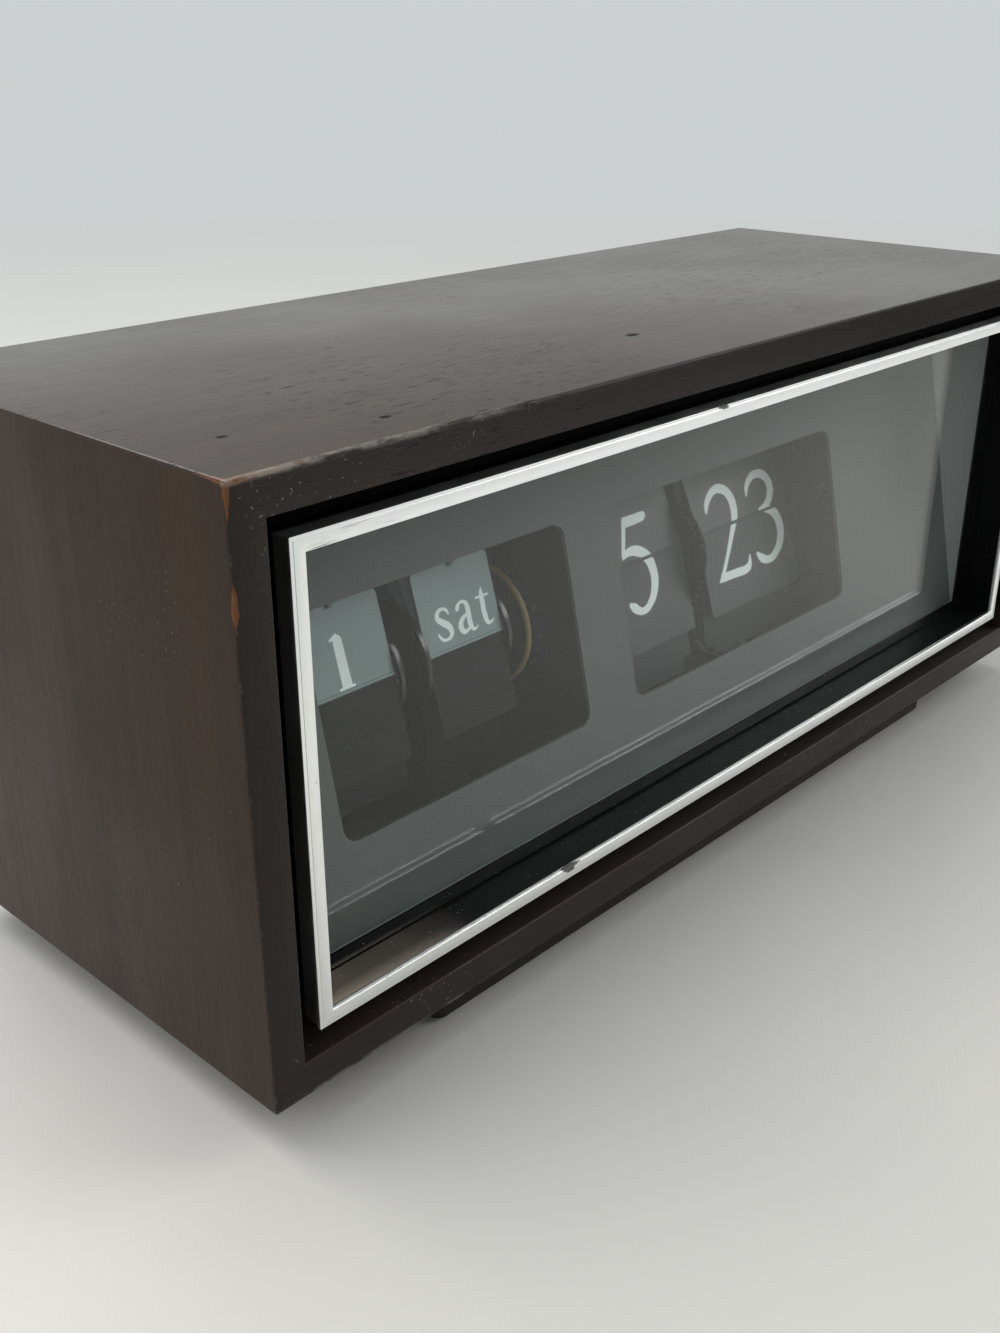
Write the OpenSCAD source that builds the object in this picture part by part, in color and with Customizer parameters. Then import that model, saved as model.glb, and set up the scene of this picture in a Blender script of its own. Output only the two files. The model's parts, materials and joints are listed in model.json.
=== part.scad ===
// Desk clock with leaf display: minutes, hours, date and day on falling leaves,
// in a mitred wooden case that stands on a set-back plinth.
// Origin: middle of the footprint, on the surface it stands on.
// +X is the viewer's right, the display faces -Y, +Z is up. Millimetres.

/* [Case] */
// Width of the wooden case
case_w = 254; // [244:1:320]
// Height of the wooden case, without the plinth
case_h = 101.6; // [98:0.2:130]
// Depth of the wooden case, front to back
case_d = 96.5; // [94:0.5:120]
// Thickness of the case boards
board_t = 6.35; // [5:0.05:8]
// Leg of the triangular glue block in each inside corner
block_leg = 9; // [6:0.5:9.5]
// Height of the plinth, felt pads included
plinth_h = 8; // [5:0.5:14]
// How far the plinth stands back from each end of the case
plinth_side = 39.4; // [10:0.2:80]
// How far the plinth stands back from the front
plinth_front = 4.7; // [2:0.1:20]
// How far the plinth stands back from the rear
plinth_rear = 9; // [2:0.5:30]
// Radius of the plinth's corners
plinth_r = 2; // [0.5:0.5:6]
// Radius of a felt pad
pad_r = 6; // [4:0.5:8]
// Thickness of a felt pad
pad_t = 0.8; // [0.5:0.1:2]

/* [Front] */
// Width of the dark channel between the boards and the bright trim
trim_gap = 3.85; // [3.2:0.05:5.6]
// Width of the trim's face
trim_w = 2.6; // [2:0.1:4]
// How far the trim's face lies behind the case's front edges
trim_back = 0.8; // [0.2:0.1:3]
// Thickness of the trim's face
trim_t = 0.8; // [0.5:0.1:1.2]
// Depth of the lip that turns back over the bezel
trim_lip = 3.2; // [1:0.1:6]
// Wall of the bezel tube
bezel_wall = 1.2; // [1:0.1:2]
// Depth of the black flange that closes the gap around the bezel
flange_y = 10; // [6:0.5:14]
// Depth of the clear lens behind the case's front edges
lens_y = 11.2; // [10:0.1:11.4]
// Thickness of the lens
lens_t = 1.5; // [1:0.1:1.6]
// Height of the rib that the lens seats against
rib_h = 0.5; // [0.3:0.1:1]
// Depth of the rib, front to back
rib_d = 2.8; // [1.5:0.1:4]

/* [Dial] */
// How far the dial leans back from upright, in degrees
tilt = 12.3; // [11:0.1:13]
// Depth of the dial's foot behind the case's front edges
dial_y = 13.2; // [13:0.1:14]
// Thickness of the dial
dial_t = 0.8; // [0.5:0.1:1]
// Left edge of the calendar window, from the case's left side
cal_win_x = 30; // [29:0.2:31]
// Width of the calendar window
cal_win_w = 64; // [63:0.2:66]
// Left edge of the time window, from the case's left side
time_win_x = 108.5; // [108:0.1:109]
// Width of the time window
time_win_w = 80.5; // [80:0.1:84]
// Lower edge of both windows, up the dial
win_low = 16; // [14:0.2:17]
// Height of both windows
win_h = 40.5; // [40:0.2:44]
// Radius of the windows' corners
win_r = 3; // [1:0.5:5]

/* [Leaves] */
// Thickness of a leaf
leaf_t = 0.15; // [0.1:0.01:0.16]
// Width of an hour or minute leaf
time_leaf_w = 35.4; // [30:0.1:35.6]
// Height of an hour or minute leaf, hinge to tip
time_leaf_h = 19.6; // [16:0.1:20]
// Width of a date leaf
date_leaf_w = 21.5; // [18:0.1:21.8]
// Width of a day leaf
day_leaf_w = 19.8; // [16:0.1:21]
// Height of a date or day leaf, hinge to tip
cal_leaf_h = 15.8; // [12:0.1:16]
// Hour leaves on the drum
hour_leaves_n = 24; // [24]
// Minute leaves drawn on the drum
minute_leaves_n = 30; // [30]
// Date leaves on the drum
date_leaves_n = 31; // [31]
// Day leaves on the drum
day_leaves_n = 14; // [14]
// Radius of the circle of leaf hinges on the hour and minute drums
time_hinge_r = 12.5; // [12:0.1:13]
// Radius of the circle of leaf hinges on the date and day drums
cal_hinge_r = 10; // [9.5:0.1:10.5]

/* [Movement] */
// Thickness of the sheet steel plates
plate_t = 1.4; // [1:0.1:1.5]
// Radius of the drum shafts and set rods
shaft_r = 1.5; // [1:0.1:2]
// Radial clearance of what turns on a shaft
run_gap = 0.05; // [0.02:0.01:0.1]
// Radius of the motor can
motor_r = 22; // [18:0.5:23]
// Length of the motor can
motor_l = 18; // [14:0.5:24]
// Radius of the cord hole through the grommet
cord_r = 2.6; // [2:0.1:3.5]

/* [Back] */
// How far the back panel lies inside the case's rear edges
back_inset = 8.2; // [6:0.2:12]
// Thickness of the back panel
back_t = 1.8; // [1.2:0.1:3]
// How far the set wheels stand out of the back panel
wheel_out = 5; // [3:0.2:6]
// Thickness of a set wheel's rim
wheel_t = 3; // [2:0.1:3]

/* [Hidden] */
$fn = 48;

gap = 0.3;          // clear space between pieces that don't touch
touch = 0.05;       // clear space round a fixed rod in its hole

// Places in the case: x from its left side, y from its front, z from its underside.
function px(x) = x - case_w / 2;
function py(y) = y - case_d / 2;
function pz(z) = z + plinth_h;

// A place in the leaning dial's own plane: v behind its face, w up from its foot,
// given as [y, z] in the part's frame.
trim_inset = board_t + trim_gap;
dial_z = trim_inset + trim_w;
function dial_at(v, w) = [
    py(dial_y + v * cos(tilt) + w * sin(tilt)),
    pz(dial_z - v * sin(tilt) + w * cos(tilt))
];

// Tube, lens and dial outlines, each side in from the case's outline
tube_in = trim_inset + trim_w;
tube_out = tube_in - bezel_wall;
dial_h = (case_h - 2 * tube_in) / cos(tilt);

// Drum centres, from the hinge line of the leaf on show
time_hinge = [12.7, 39.4];
time_rise = 15;
time_lean = 13.5;
cal_hinge = [8.6, 38.3];
cal_rise = 3;
cal_lean = 4;
time_axis = [
    time_hinge[0] + time_hinge_r * cos(time_rise),
    time_hinge[1] - time_hinge_r * sin(time_rise)
];
cal_axis = [
    cal_hinge[0] + cal_hinge_r * cos(cal_rise),
    cal_hinge[1] - cal_hinge_r * sin(cal_rise)
];
time_c = dial_at(time_axis[0], time_axis[1]);
cal_c = dial_at(cal_axis[0], cal_axis[1]);
flange_r = 1.3;     // drum flange beyond its circle of hinges
flange_t = 1;
hub_r = 4;
bore_r = shaft_r + run_gap;

// Leaves along X
date_leaf_x = cal_win_x + 2.4;
day_leaf_x = cal_win_x + 32.2;
hour_leaf_x = time_win_x + 1.2;
minute_leaf_x = hour_leaf_x + time_leaf_w + 6.8;
fallen_lean = 4;    // forward lean of the fallen leaf on show
fallen_drop = 0.5;  // its top edge below the hinge line
fallen_back = 0.15; // and behind it
pack_end = 330;     // last leaf round the drum, in degrees past the front

// Toothed wheels: module, teeth
press_angle = 25;
minute_m = 0.7;
minute_z = 60;
pinion_z = 12;
first_m = 0.5;
first_z = [12, 72];
second_z = [15, 60];
second_m = first_m * (first_z[0] + first_z[1]) / (second_z[0] + second_z[1]);
date_m = 0.8;
date_z = 31;
day_z = 28;
day_m_near = 0.9;
gear_t = 1.6;
thin_gear_t = 1.1;
addendum = 0.85;

// Set wheels: the gear and the rim share the way from the drum to the back
rim_over = wheel_out + back_t + 0.6;    // rim beyond the set gear's teeth
back_out_y = case_d - back_inset + wheel_out;
back_in_y = case_d - back_inset - back_t;
function set_teeth(c, m, z) =
    floor((back_out_y - (c[0] + case_d / 2) + m * z / 2 - addendum * m - rim_over) / m - z);
function set_dist(m, z, n) = m * (z + n) / 2;
time_set_z = set_teeth(time_c, minute_m, minute_z);
time_set_c = time_c + [set_dist(minute_m, minute_z, time_set_z), 0];
// The date and day set wheels turn on one rod, so the day gears' module follows
date_set_z = set_teeth(cal_c, date_m, date_z);
cal_set_d = set_dist(date_m, date_z, date_set_z);
cal_set_c = cal_c + [cal_set_d, 0];
day_set_z = round(2 * cal_set_d / day_m_near - day_z);
day_m = 2 * cal_set_d / (day_z + day_set_z);
function rim_r(m, n) = m * n / 2 + addendum * m + rim_over;

// Motor pinion below the minute wheel, hour transfer behind and below the drums
pinion_dir = -100;
pinion_c = time_c + set_dist(minute_m, minute_z, pinion_z) * [cos(pinion_dir), sin(pinion_dir)];
transfer_dir = -47;
transfer_c = time_c + set_dist(first_m, first_z[0], first_z[1])
    * [cos(transfer_dir), sin(transfer_dir)];

// Pieces along X, from the leaves outwards
date_wheel_x = date_leaf_x - 4.8;
day_wheel_x = day_leaf_x + day_leaf_w + 5.5;
minute_wheel_x = minute_leaf_x + time_leaf_w + 2.9;
hour_wheel_x = hour_leaf_x + time_leaf_w + gap;
first_x = minute_leaf_x - gap - flange_t - thin_gear_t;
rim_gap = 1;        // between a set wheel's gear and its rim
cal_left_x = date_wheel_x - rim_gap - wheel_t - 3;
cal_right_x = day_wheel_x + gear_t + rim_gap + wheel_t + 3;
time_left_x = hour_leaf_x - gap - flange_t - 3.8;
centre_x = (hour_wheel_x + thin_gear_t + first_x - plate_t) / 2;
time_right_x = minute_wheel_x + gear_t + rim_gap + wheel_t + 2;

// Chassis
base_t = 1.5;
base_y = [24, back_in_y - 3];
base_top = board_t + base_t;
plate_front = 2.2;  // plates behind the dial's face
foot_w = 9;
screw_r = 1.4;
head_r = 2.6;
head_h = 1.5;
hook_w = 1;
notch_d = 0.8;
notch_w = 1.8;
corner_notch = 3;

// ---- helpers ----

// Flat shape in [y, z] made t thick along X
module slab(x, t) {
    translate([px(x), 0, 0])
        rotate([90, 0, 90])
            linear_extrude(t)
                children();
}

// Profile in [radius, x] turned about an axis along X through c = [y, z]
module turned(x, c) {
    translate([px(x), c[0], c[1]])
        rotate([0, 90, 0])
            rotate_extrude()
                children();
}

// Rod along X
module rod(x, c, r, l) {
    translate([px(x), c[0], c[1]])
        rotate([0, 90, 0])
            cylinder(r = r, h = l);
}

// Shape drawn in the leaning dial's frame: x, v behind its face, w up
module on_dial() {
    translate([px(0), py(dial_y), pz(dial_z)])
        rotate([-tilt, 0, 0])
            children();
}

// Front outline inset by i from the case, with corner radius r, t deep from y
module front_block(i, y, t, r = 0.4) {
    translate([0, py(y + t), pz(case_h / 2)])
        rotate([90, 0, 0])
            linear_extrude(t)
                rounded(case_w - 2 * i, case_h - 2 * i, r);
}

module rounded(w, h, r) {
    union() {
        square([w - 2 * r, h], center = true);
        square([w, h - 2 * r], center = true);
        for (sx = [-1, 1], sy = [-1, 1])
            translate([sx * (w / 2 - r), sy * (h / 2 - r)])
                circle(r, $fn = 24);
    }
}

// Involute tooth: half its angle at radius rho
function inv(a) = tan(a) * 180 / PI - a;
function half_tooth(m, z, rho) =
    90 / z - 0.12 * m / (m * z / 2) * 90 / PI + inv(press_angle)
    - inv(acos(min(1, m * z / 2 * cos(press_angle) / rho)));
function polar(r, a) = [r * cos(a), r * sin(a)];
function tooth(m, z, a) = let (
    rp = m * z / 2,
    root = rp - 1.1 * m,
    base = max(rp * cos(press_angle), root + 0.05 * m),
    tip = rp + addendum * m,
    mid = (base + tip) / 2
) [
    polar(root, a - half_tooth(m, z, base)),
    polar(base, a - half_tooth(m, z, base)),
    polar(mid, a - half_tooth(m, z, mid)),
    polar(tip, a - half_tooth(m, z, tip)),
    polar(tip, a + half_tooth(m, z, tip)),
    polar(mid, a + half_tooth(m, z, mid)),
    polar(base, a + half_tooth(m, z, base)),
    polar(root, a + half_tooth(m, z, base))
];

// Toothed wheel with a tooth pointing along the angle 'toward'
module toothed(m, z, toward, hole) {
    difference() {
        polygon([for (i = [0:z - 1]) each tooth(m, z, toward + i * 360 / z)]);
        circle(hole);
    }
}

// Angle of a tooth of the driven wheel, in mesh with a wheel that has a tooth
// along 'lead': both lie along 'dir', seen from the leading wheel
function meshed(dir, lead, z_lead, z_driven) =
    dir + 180 - ((lead - dir) * z_lead - 180) / z_driven;

// Ring of lightening holes
module light_holes(n, r_at, r_hole) {
    for (i = [0:n - 1])
        rotate(i * 360 / n)
            translate([r_at, 0])
                circle(r_hole);
}

// Leaf outline in [x, w]: rounded tip corners, a notch for its hook
module leaf_outline(w, h, notch_x, nw, nd) {
    r = 1;
    difference() {
        union() {
            square([w, h - r]);
            translate([r, 0])
                square([w - 2 * r, h]);
            for (x = [r, w - r])
                translate([x, h - r])
                    circle(r, $fn = 16);
        }
        if (nw > 0)
            translate([notch_x, h - nd])
                square([nw, nd + 1]);
    }
}

// A leaf hinged at c = [y, z], leaning back by 'lean' degrees
module leaf(x, c, lean, w, h, notch_x, nw, nd) {
    translate([px(x), c[0], c[1]])
        rotate([-lean, 0, 0])
            rotate([90, 0, 0])
                linear_extrude(leaf_t, center = true)
                    leaf_outline(w, h, notch_x, nw, nd);
}

// The leaf on show, with its hinge pin
module show_leaf(x, hinge, lean, w, h, notch_x, nw, nd) {
    c = dial_at(hinge[0], hinge[1]);
    union() {
        leaf(x, c, lean + tilt, w, h, notch_x, nw, nd);
        rod(x, c, 0.35, w);
    }
}

// The leaves at rest round a drum: the fallen leaf on show in front, and the
// others fanned from behind the upright leaf, over the top and down again
module leaf_pack(x, w, h, hinge, axis, r, rise, lean, n, notch_x, nw, nd) {
    fallen = dial_at(hinge[0] + fallen_back, hinge[1] - fallen_drop);
    leaf(x, fallen, 180 + fallen_lean + tilt, w, h - fallen_drop, 0, 0, 0);
    step = 360 / n;
    last = floor((pack_end - rise) / step);
    for (k = [1:last]) {
        a = rise + k * step;
        lay = lean + (180 - lean) * (a - rise) / (pack_end - rise);
        c = dial_at(axis[0] - r * cos(a), axis[1] + r * sin(a));
        leaf(x, c, lay + tilt, w, h, notch_x, nw, nd);
    }
}

// Drum: two flanges with a hole for each leaf hinge, on a hub
module drum(x, w, c, r, n, hub_x, hub_l) {
    for (fx = [x - gap - flange_t, x + w + gap])
        slab(fx, flange_t)
            translate(c)
                difference() {
                    circle(r + flange_r, $fn = 96);
                    circle(bore_r);
                    light_holes(n, r, 0.45, $fn = 16);
                }
    turned(hub_x, c)
        translate([bore_r, 0])
            square([hub_r - bore_r, hub_l]);
}

// Set wheel: gear, hub and ribbed rim on one rod
module set_wheel(gear_x, rim_x, c, m, z, toward, bore) {
    r = rim_r(m, z);
    ribs = 2 * floor(r * PI / 2.4);
    slab(gear_x, gear_t)
        translate(c)
            toothed(m, z, toward, bore);
    slab(rim_x, wheel_t)
        translate(c)
            difference() {
                polygon([for (i = [0:ribs - 1], s = [0, 1])
                    polar(r - 0.5 * s, (i + 0.5 * s + 0.25) * 360 / ribs)]);
                circle(bore);
            }
    lo = min(gear_x, rim_x);
    turned(lo, c)
        translate([bore, 0])
            square([hub_r - bore, gear_t + rim_gap + wheel_t]);
}

// Side plate: leaning front edge, holes for what passes through it
module side_plate(foot, rear, top, holes) {
    x = foot[0];
    front_low = dial_at(plate_front, (base_top - dial_z) / cos(tilt) + 1.2);
    front_high = dial_at(plate_front, top);
    slab(x, plate_t)
        difference() {
            polygon([
                [front_low[0], pz(base_top)], front_high,
                [front_high[0] + 26, front_high[1]],
                [py(rear), pz(64)], [py(rear), pz(base_top)]
            ]);
            for (h = holes)
                translate([h[0], h[1]])
                    circle(h[2] + touch);
        }
    translate([px(foot_mid(foot) - foot_w / 2), py(base_y[0] + 2), pz(base_top)])
        difference() {
            cube([foot_w, base_y[1] - base_y[0] - 12, plate_t]);
            for (y = foot_screws_y)
                translate([foot_w / 2, y - base_y[0] - 2, -1])
                    cylinder(r = screw_r + touch, h = plate_t + 2, $fn = 24);
        }
}
foot_screws_y = [32, 62];
// Each plate's place along X, and the side that its foot is bent to
cal_left_foot = [cal_left_x, 1];
cal_right_foot = [cal_right_x, -1];
time_left_foot = [time_left_x, 1];
centre_foot = [centre_x, -1];
time_right_foot = [time_right_x, -1];
plate_feet = [cal_left_foot, cal_right_foot, time_left_foot, centre_foot, time_right_foot];
function foot_mid(f) = f[1] > 0 ? f[0] + foot_w / 2 : f[0] + plate_t - foot_w / 2;

// Pan-head screw pointing along +Z, its head's underside at the origin
module screw(l) {
    rotate_extrude($fn = 32)
        polygon([[0, -head_h], [head_r - 0.7, -head_h], [head_r, -head_h + 0.7],
            [head_r, 0], [screw_r, 0], [screw_r, l - 1], [0.3, l], [0, l]]);
}

// ---- case ----

module board(pts) {
    translate([0, py(case_d), pz(0)])
        rotate([90, 0, 0])
            linear_extrude(case_d)
                polygon(pts);
}

module case_top() {
    color([0.30, 0.25, 0.22])
        board([[px(0), case_h], [px(case_w), case_h],
            [px(case_w - board_t), case_h - board_t], [px(board_t), case_h - board_t]]);
}

module case_bottom() {
    color([0.27, 0.22, 0.19])
        difference() {
            board([[px(0), 0], [px(case_w), 0],
                [px(case_w - board_t), board_t], [px(board_t), board_t]]);
            for (p = base_screws)
                translate([px(p[0]), py(p[1]), pz(board_t - 4.2)])
                    cylinder(r = screw_r + touch, h = 5, $fn = 24);
        }
}

module case_left() {
    color([0.27, 0.22, 0.19])
        board([[px(0), 0], [px(board_t), board_t],
            [px(board_t), case_h - board_t], [px(0), case_h]]);
}

module case_right() {
    color([0.27, 0.22, 0.19])
        board([[px(case_w), 0], [px(case_w), case_h],
            [px(case_w - board_t), case_h - board_t], [px(case_w - board_t), board_t]]);
}

// Triangular glue blocks, from behind the bezel's flange to the back panel
block_y = [flange_y + 1.5, back_in_y];
back_screw_in = board_t + 2.8;
module corner_blocks() {
    color([0.62, 0.50, 0.36])
        difference() {
            for (sx = [-1, 1], sz = [-1, 1])
                translate([0, py(block_y[1]), pz(case_h / 2)])
                    rotate([90, 0, 0])
                        linear_extrude(block_y[1] - block_y[0])
                            mirrored(sx, sz)
                                polygon([
                                    [case_w / 2 - board_t, case_h / 2 - board_t],
                                    [case_w / 2 - board_t - block_leg, case_h / 2 - board_t],
                                    [case_w / 2 - board_t, case_h / 2 - board_t - block_leg]
                                ]);
            for (x = [back_screw_in, case_w - back_screw_in],
                 z = [back_screw_in, case_h - back_screw_in])
                translate([px(x), py(block_y[1] + 1), pz(z)])
                    rotate([90, 0, 0])
                        cylinder(r = screw_r + touch, h = 9, $fn = 24);
        }
}

module mirrored(sx, sz) {
    mirror([sx < 0 ? 1 : 0, 0])
        mirror([0, sz < 0 ? 1 : 0])
            children();
}

module plinth() {
    color([0.16, 0.13, 0.11])
        translate([0, (py(plinth_front) + py(case_d - plinth_rear)) / 2, pad_t])
            linear_extrude(plinth_h - pad_t)
                rounded(case_w - 2 * plinth_side, case_d - plinth_front - plinth_rear, plinth_r);
}

module felt_pads() {
    color([0.12, 0.12, 0.12])
        for (sx = [-1, 1], y = [plinth_front + pad_r + 3, case_d - plinth_rear - pad_r - 3])
            translate([sx * (case_w / 2 - plinth_side - pad_r - 4), py(y), 0])
                cylinder(r = pad_r, h = pad_t);
}

// ---- front ----

// Tube behind the trim, its rear edge cut to the leaning dial, with the flange
// that closes the gap to the case and four lugs for the dial's screws
lug = [4.2, 7, 5];
lug_w = [14, 62];
lug_root = 0.6;     // depth of a lug's root in the tube's wall
module bezel() {
    color([0.05, 0.05, 0.05])
        difference() {
            union() {
                front_block(tube_out, trim_back + trim_t, dial_y + 24, 1);
                front_block(board_t + gap, flange_y, 1.5, 1);
                on_dial()
                    for (x = [tube_out - lug[0], case_w - tube_out - lug_root], w = lug_w)
                        translate([x, -lug[1], w])
                            cube([lug[0] + lug_root, lug[1], lug[2]]);
            }
            front_block(tube_in, -1, lens_y - rib_d + 1);
            front_block(tube_in + rib_h, lens_y - rib_d - 1, rib_d + 2);
            front_block(tube_in, lens_y, dial_y + 40);
            on_dial()
                translate([0, 0, -30])
                    cube([case_w, 60, dial_h + 60]);
            on_dial()
                for (x = lug_x, w = lug_w)
                    translate([x, 1, w + lug[2] / 2])
                        rotate([90, 0, 0])
                            cylinder(r = screw_r + touch, h = 6, $fn = 24);
        }
}
lug_x = [tube_out - lug[0] / 2, case_w - tube_out + lug[0] / 2];

module trim_frame() {
    color([0.85, 0.86, 0.85])
        difference() {
            union() {
                front_block(trim_inset, trim_back, trim_t);
                front_block(trim_inset + 0.55, trim_back - 0.2, 0.4);
                front_block(trim_inset + 0.3, trim_back + trim_t, trim_lip);
            }
            front_block(trim_inset + trim_w, trim_back - 2, trim_t + 2);
            front_block(tube_out - touch, trim_back + trim_t, trim_lip + 1, 1);
        }
}

module lens() {
    color([0.75, 0.80, 0.80, 0.35])
        front_block(tube_in + touch, lens_y, lens_t);
}

module dial_mask() {
    color([0.33, 0.35, 0.34])
        on_dial()
            difference() {
                union() {
                    translate([tube_out, 0, -bezel_wall])
                        cube([case_w - 2 * tube_out, dial_t, dial_h + 2 * bezel_wall]);
                    for (x = [tube_out - lug[0], case_w - tube_out - 1], w = lug_w)
                        translate([x, 0, w])
                            cube([lug[0] + 1, dial_t, lug[2]]);
                }
                dial_window(cal_win_x, cal_win_w);
                dial_window(time_win_x, time_win_w);
                for (x = lug_x, w = lug_w)
                    translate([x, 2, w + lug[2] / 2])
                        rotate([90, 0, 0])
                            cylinder(r = screw_r + touch, h = 4, $fn = 24);
            }
}

module dial_window(x, w) {
    translate([x + w / 2, 3, win_low + win_h / 2])
        rotate([90, 0, 0])
            linear_extrude(6)
                rounded(w, win_h, win_r);
}

module mask_screws() {
    color([0.55, 0.55, 0.52])
        on_dial()
            for (x = lug_x, w = lug_w)
                translate([x, dial_t, w + lug[2] / 2])
                    rotate([90, 0, 0])
                        small_screw(4.5);
}

module small_screw(l) {
    rotate_extrude($fn = 24)
        polygon([[0, -1.2], [1.5, -1.2], [2, -0.7], [2, 0], [screw_r, 0],
            [screw_r, l - 1], [0.3, l], [0, l]]);
}

// ---- back ----

cord_x = case_w - 34;
cord_z = 24;
grommet_r = 5;
module slot_for(rim_x, c, r) {
    reach = sqrt(r * r - pow(case_d / 2 - back_inset - back_t - c[0], 2)) + 1.5;
    translate([px(rim_x) - 0.8, py(back_in_y) - 1, c[1] - reach])
        cube([wheel_t + 1.6, back_t + 2, 2 * reach]);
}

module back_panel() {
    color([0.08, 0.08, 0.08])
        difference() {
            translate([px(board_t + gap), py(back_in_y), pz(board_t + gap)])
                cube([case_w - 2 * board_t - 2 * gap, back_t, case_h - 2 * board_t - 2 * gap]);
            slot_for(date_rim_x, cal_set_c, rim_r(date_m, date_set_z));
            slot_for(day_rim_x, cal_set_c, rim_r(day_m, day_set_z));
            slot_for(time_rim_x, time_set_c, rim_r(minute_m, time_set_z));
            for (i = [0:6])
                translate([px(112 + 8 * i), py(back_in_y) - 1, pz(66)])
                    cube([2.4, back_t + 2, 14]);
            translate([px(cord_x), py(back_in_y) - 1, pz(cord_z)])
                rotate([-90, 0, 0])
                    cylinder(r = grommet_r - 1 + touch, h = back_t + 2);
            for (x = [back_screw_in, case_w - back_screw_in],
                 z = [back_screw_in, case_h - back_screw_in])
                translate([px(x), py(back_in_y) - 1, pz(z)])
                    rotate([-90, 0, 0])
                        cylinder(r = screw_r + touch, h = back_t + 2, $fn = 24);
        }
}

module back_screws() {
    color([0.62, 0.62, 0.60])
        for (x = [back_screw_in, case_w - back_screw_in],
             z = [back_screw_in, case_h - back_screw_in])
            translate([px(x), py(back_in_y + back_t), pz(z)])
                rotate([90, 0, 0])
                    screw(8);
}

module cord_grommet() {
    color([0.04, 0.04, 0.04])
        translate([px(cord_x), py(back_in_y), pz(cord_z)])
            rotate([-90, 0, 0])
                rotate_extrude()
                    polygon([[cord_r, -2], [grommet_r, -2], [grommet_r, -touch],
                        [grommet_r - 1, -touch], [grommet_r - 1, back_t + touch],
                        [grommet_r, back_t + touch], [grommet_r - 0.6, back_t + 2.6],
                        [cord_r, back_t + 2.6]]);
}

// ---- chassis ----

base_screws = [
    for (x = [cal_left_x + 14, time_right_x - 14], y = [base_y[0] + 4, base_y[1] - 4])
        [x, y]
];
module chassis_base() {
    color([0.60, 0.60, 0.57])
        difference() {
            translate([px(cal_left_x - 2), py(base_y[0]), pz(board_t)])
                cube([time_right_x - cal_left_x + plate_t + 3, base_y[1] - base_y[0], base_t]);
            for (p = base_screws)
                translate([px(p[0]), py(p[1]), pz(board_t) - 1])
                    cylinder(r = screw_r + touch, h = base_t + 2, $fn = 24);
            for (f = plate_feet, y = foot_screws_y)
                translate([px(foot_mid(f)), py(y), pz(board_t) - 1])
                    cylinder(r = screw_r + touch, h = base_t + 2, $fn = 24);
        }
}

module chassis_screws() {
    color([0.70, 0.70, 0.68]) {
        for (p = base_screws)
            translate([px(p[0]), py(p[1]), pz(base_top)])
                rotate([180, 0, 0])
                    screw(5.5);
        for (f = plate_feet, y = foot_screws_y)
            translate([px(foot_mid(f)), py(y), pz(base_top + plate_t)])
                rotate([180, 0, 0])
                    screw(plate_t + base_t);
    }
}

cal_rear = 76;
time_rear = back_in_y - 2.5;
cal_plate_top = 70;     // up the dial
time_plate_top = 68;
spacer_up = base_top + 6.15;
cal_spacers_c = [[py(46), pz(76)], [py(66), pz(spacer_up)]];
time_spacers_c = [[py(66), pz(74)], [py(77), pz(spacer_up)]];
cal_bar_c = dial_at(7, 57.5);
time_bar_c = dial_at(9, 63);
cal_holes = [
    [cal_c[0], cal_c[1], shaft_r], [cal_set_c[0], cal_set_c[1], shaft_r],
    for (c = cal_spacers_c) [c[0], c[1], 2], [cal_bar_c[0], cal_bar_c[1], 1]
];
time_holes = [
    [time_c[0], time_c[1], shaft_r],
    for (c = time_spacers_c) [c[0], c[1], 2], [time_bar_c[0], time_bar_c[1], 1]
];

module calendar_left_plate() {
    color([0.66, 0.66, 0.62])
        side_plate(cal_left_foot, cal_rear, cal_plate_top, cal_holes);
}
module calendar_right_plate() {
    color([0.66, 0.66, 0.62])
        side_plate(cal_right_foot, cal_rear, cal_plate_top, cal_holes);
}
module time_left_plate() {
    color([0.66, 0.66, 0.62])
        side_plate(time_left_foot, time_rear, time_plate_top, time_holes);
}
// Between the two drums, cut back in front so that it hides no leaf from the side;
// the transfer gear's hub turns in it
sight_v = time_hinge[0] + 1.8;
module centre_plate() {
    color([0.12, 0.12, 0.12])
        difference() {
            side_plate(centre_foot, time_rear, time_plate_top, concat(time_holes,
                [[transfer_c[0], transfer_c[1], 2]]));
            slab(centre_x - 1, plate_t + 2)
                polygon([dial_at(-4, win_low - 4), dial_at(sight_v - 3, win_low - 3),
                    dial_at(sight_v, win_low), dial_at(sight_v, win_low + win_h - 3),
                    dial_at(sight_v - 3, win_low + win_h), dial_at(-4, win_low + win_h)]);
        }
}
module time_right_plate() {
    color([0.66, 0.66, 0.62])
        side_plate(time_right_foot, time_rear, time_plate_top, concat(time_holes, [
            [time_set_c[0], time_set_c[1], shaft_r], [pinion_c[0], pinion_c[1], 3],
            for (c = motor_ears) [c[0], c[1], screw_r]
        ]));
}

module calendar_spacers() {
    color([0.72, 0.62, 0.34])
        for (c = cal_spacers_c)
            stepped_rod(cal_left_x, cal_right_x + plate_t, c, 3.2, 2);
}
module time_spacers() {
    color([0.72, 0.62, 0.34])
        for (c = time_spacers_c) {
            stepped_rod(time_left_x, centre_x + plate_t / 2, c, 3.2, 2);
            stepped_rod(centre_x + plate_t / 2, time_right_x + plate_t, c, 3.2, 2);
        }
}
// Rod with a thin end that passes into each plate
module stepped_rod(x0, x1, c, r, r_end) {
    l = x1 - x0;
    turned(x0, c)
        polygon([[0, 0], [r_end, 0], [r_end, plate_t], [r, plate_t],
            [r, l - plate_t], [r_end, l - plate_t], [r_end, l], [0, l]]);
}

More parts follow.
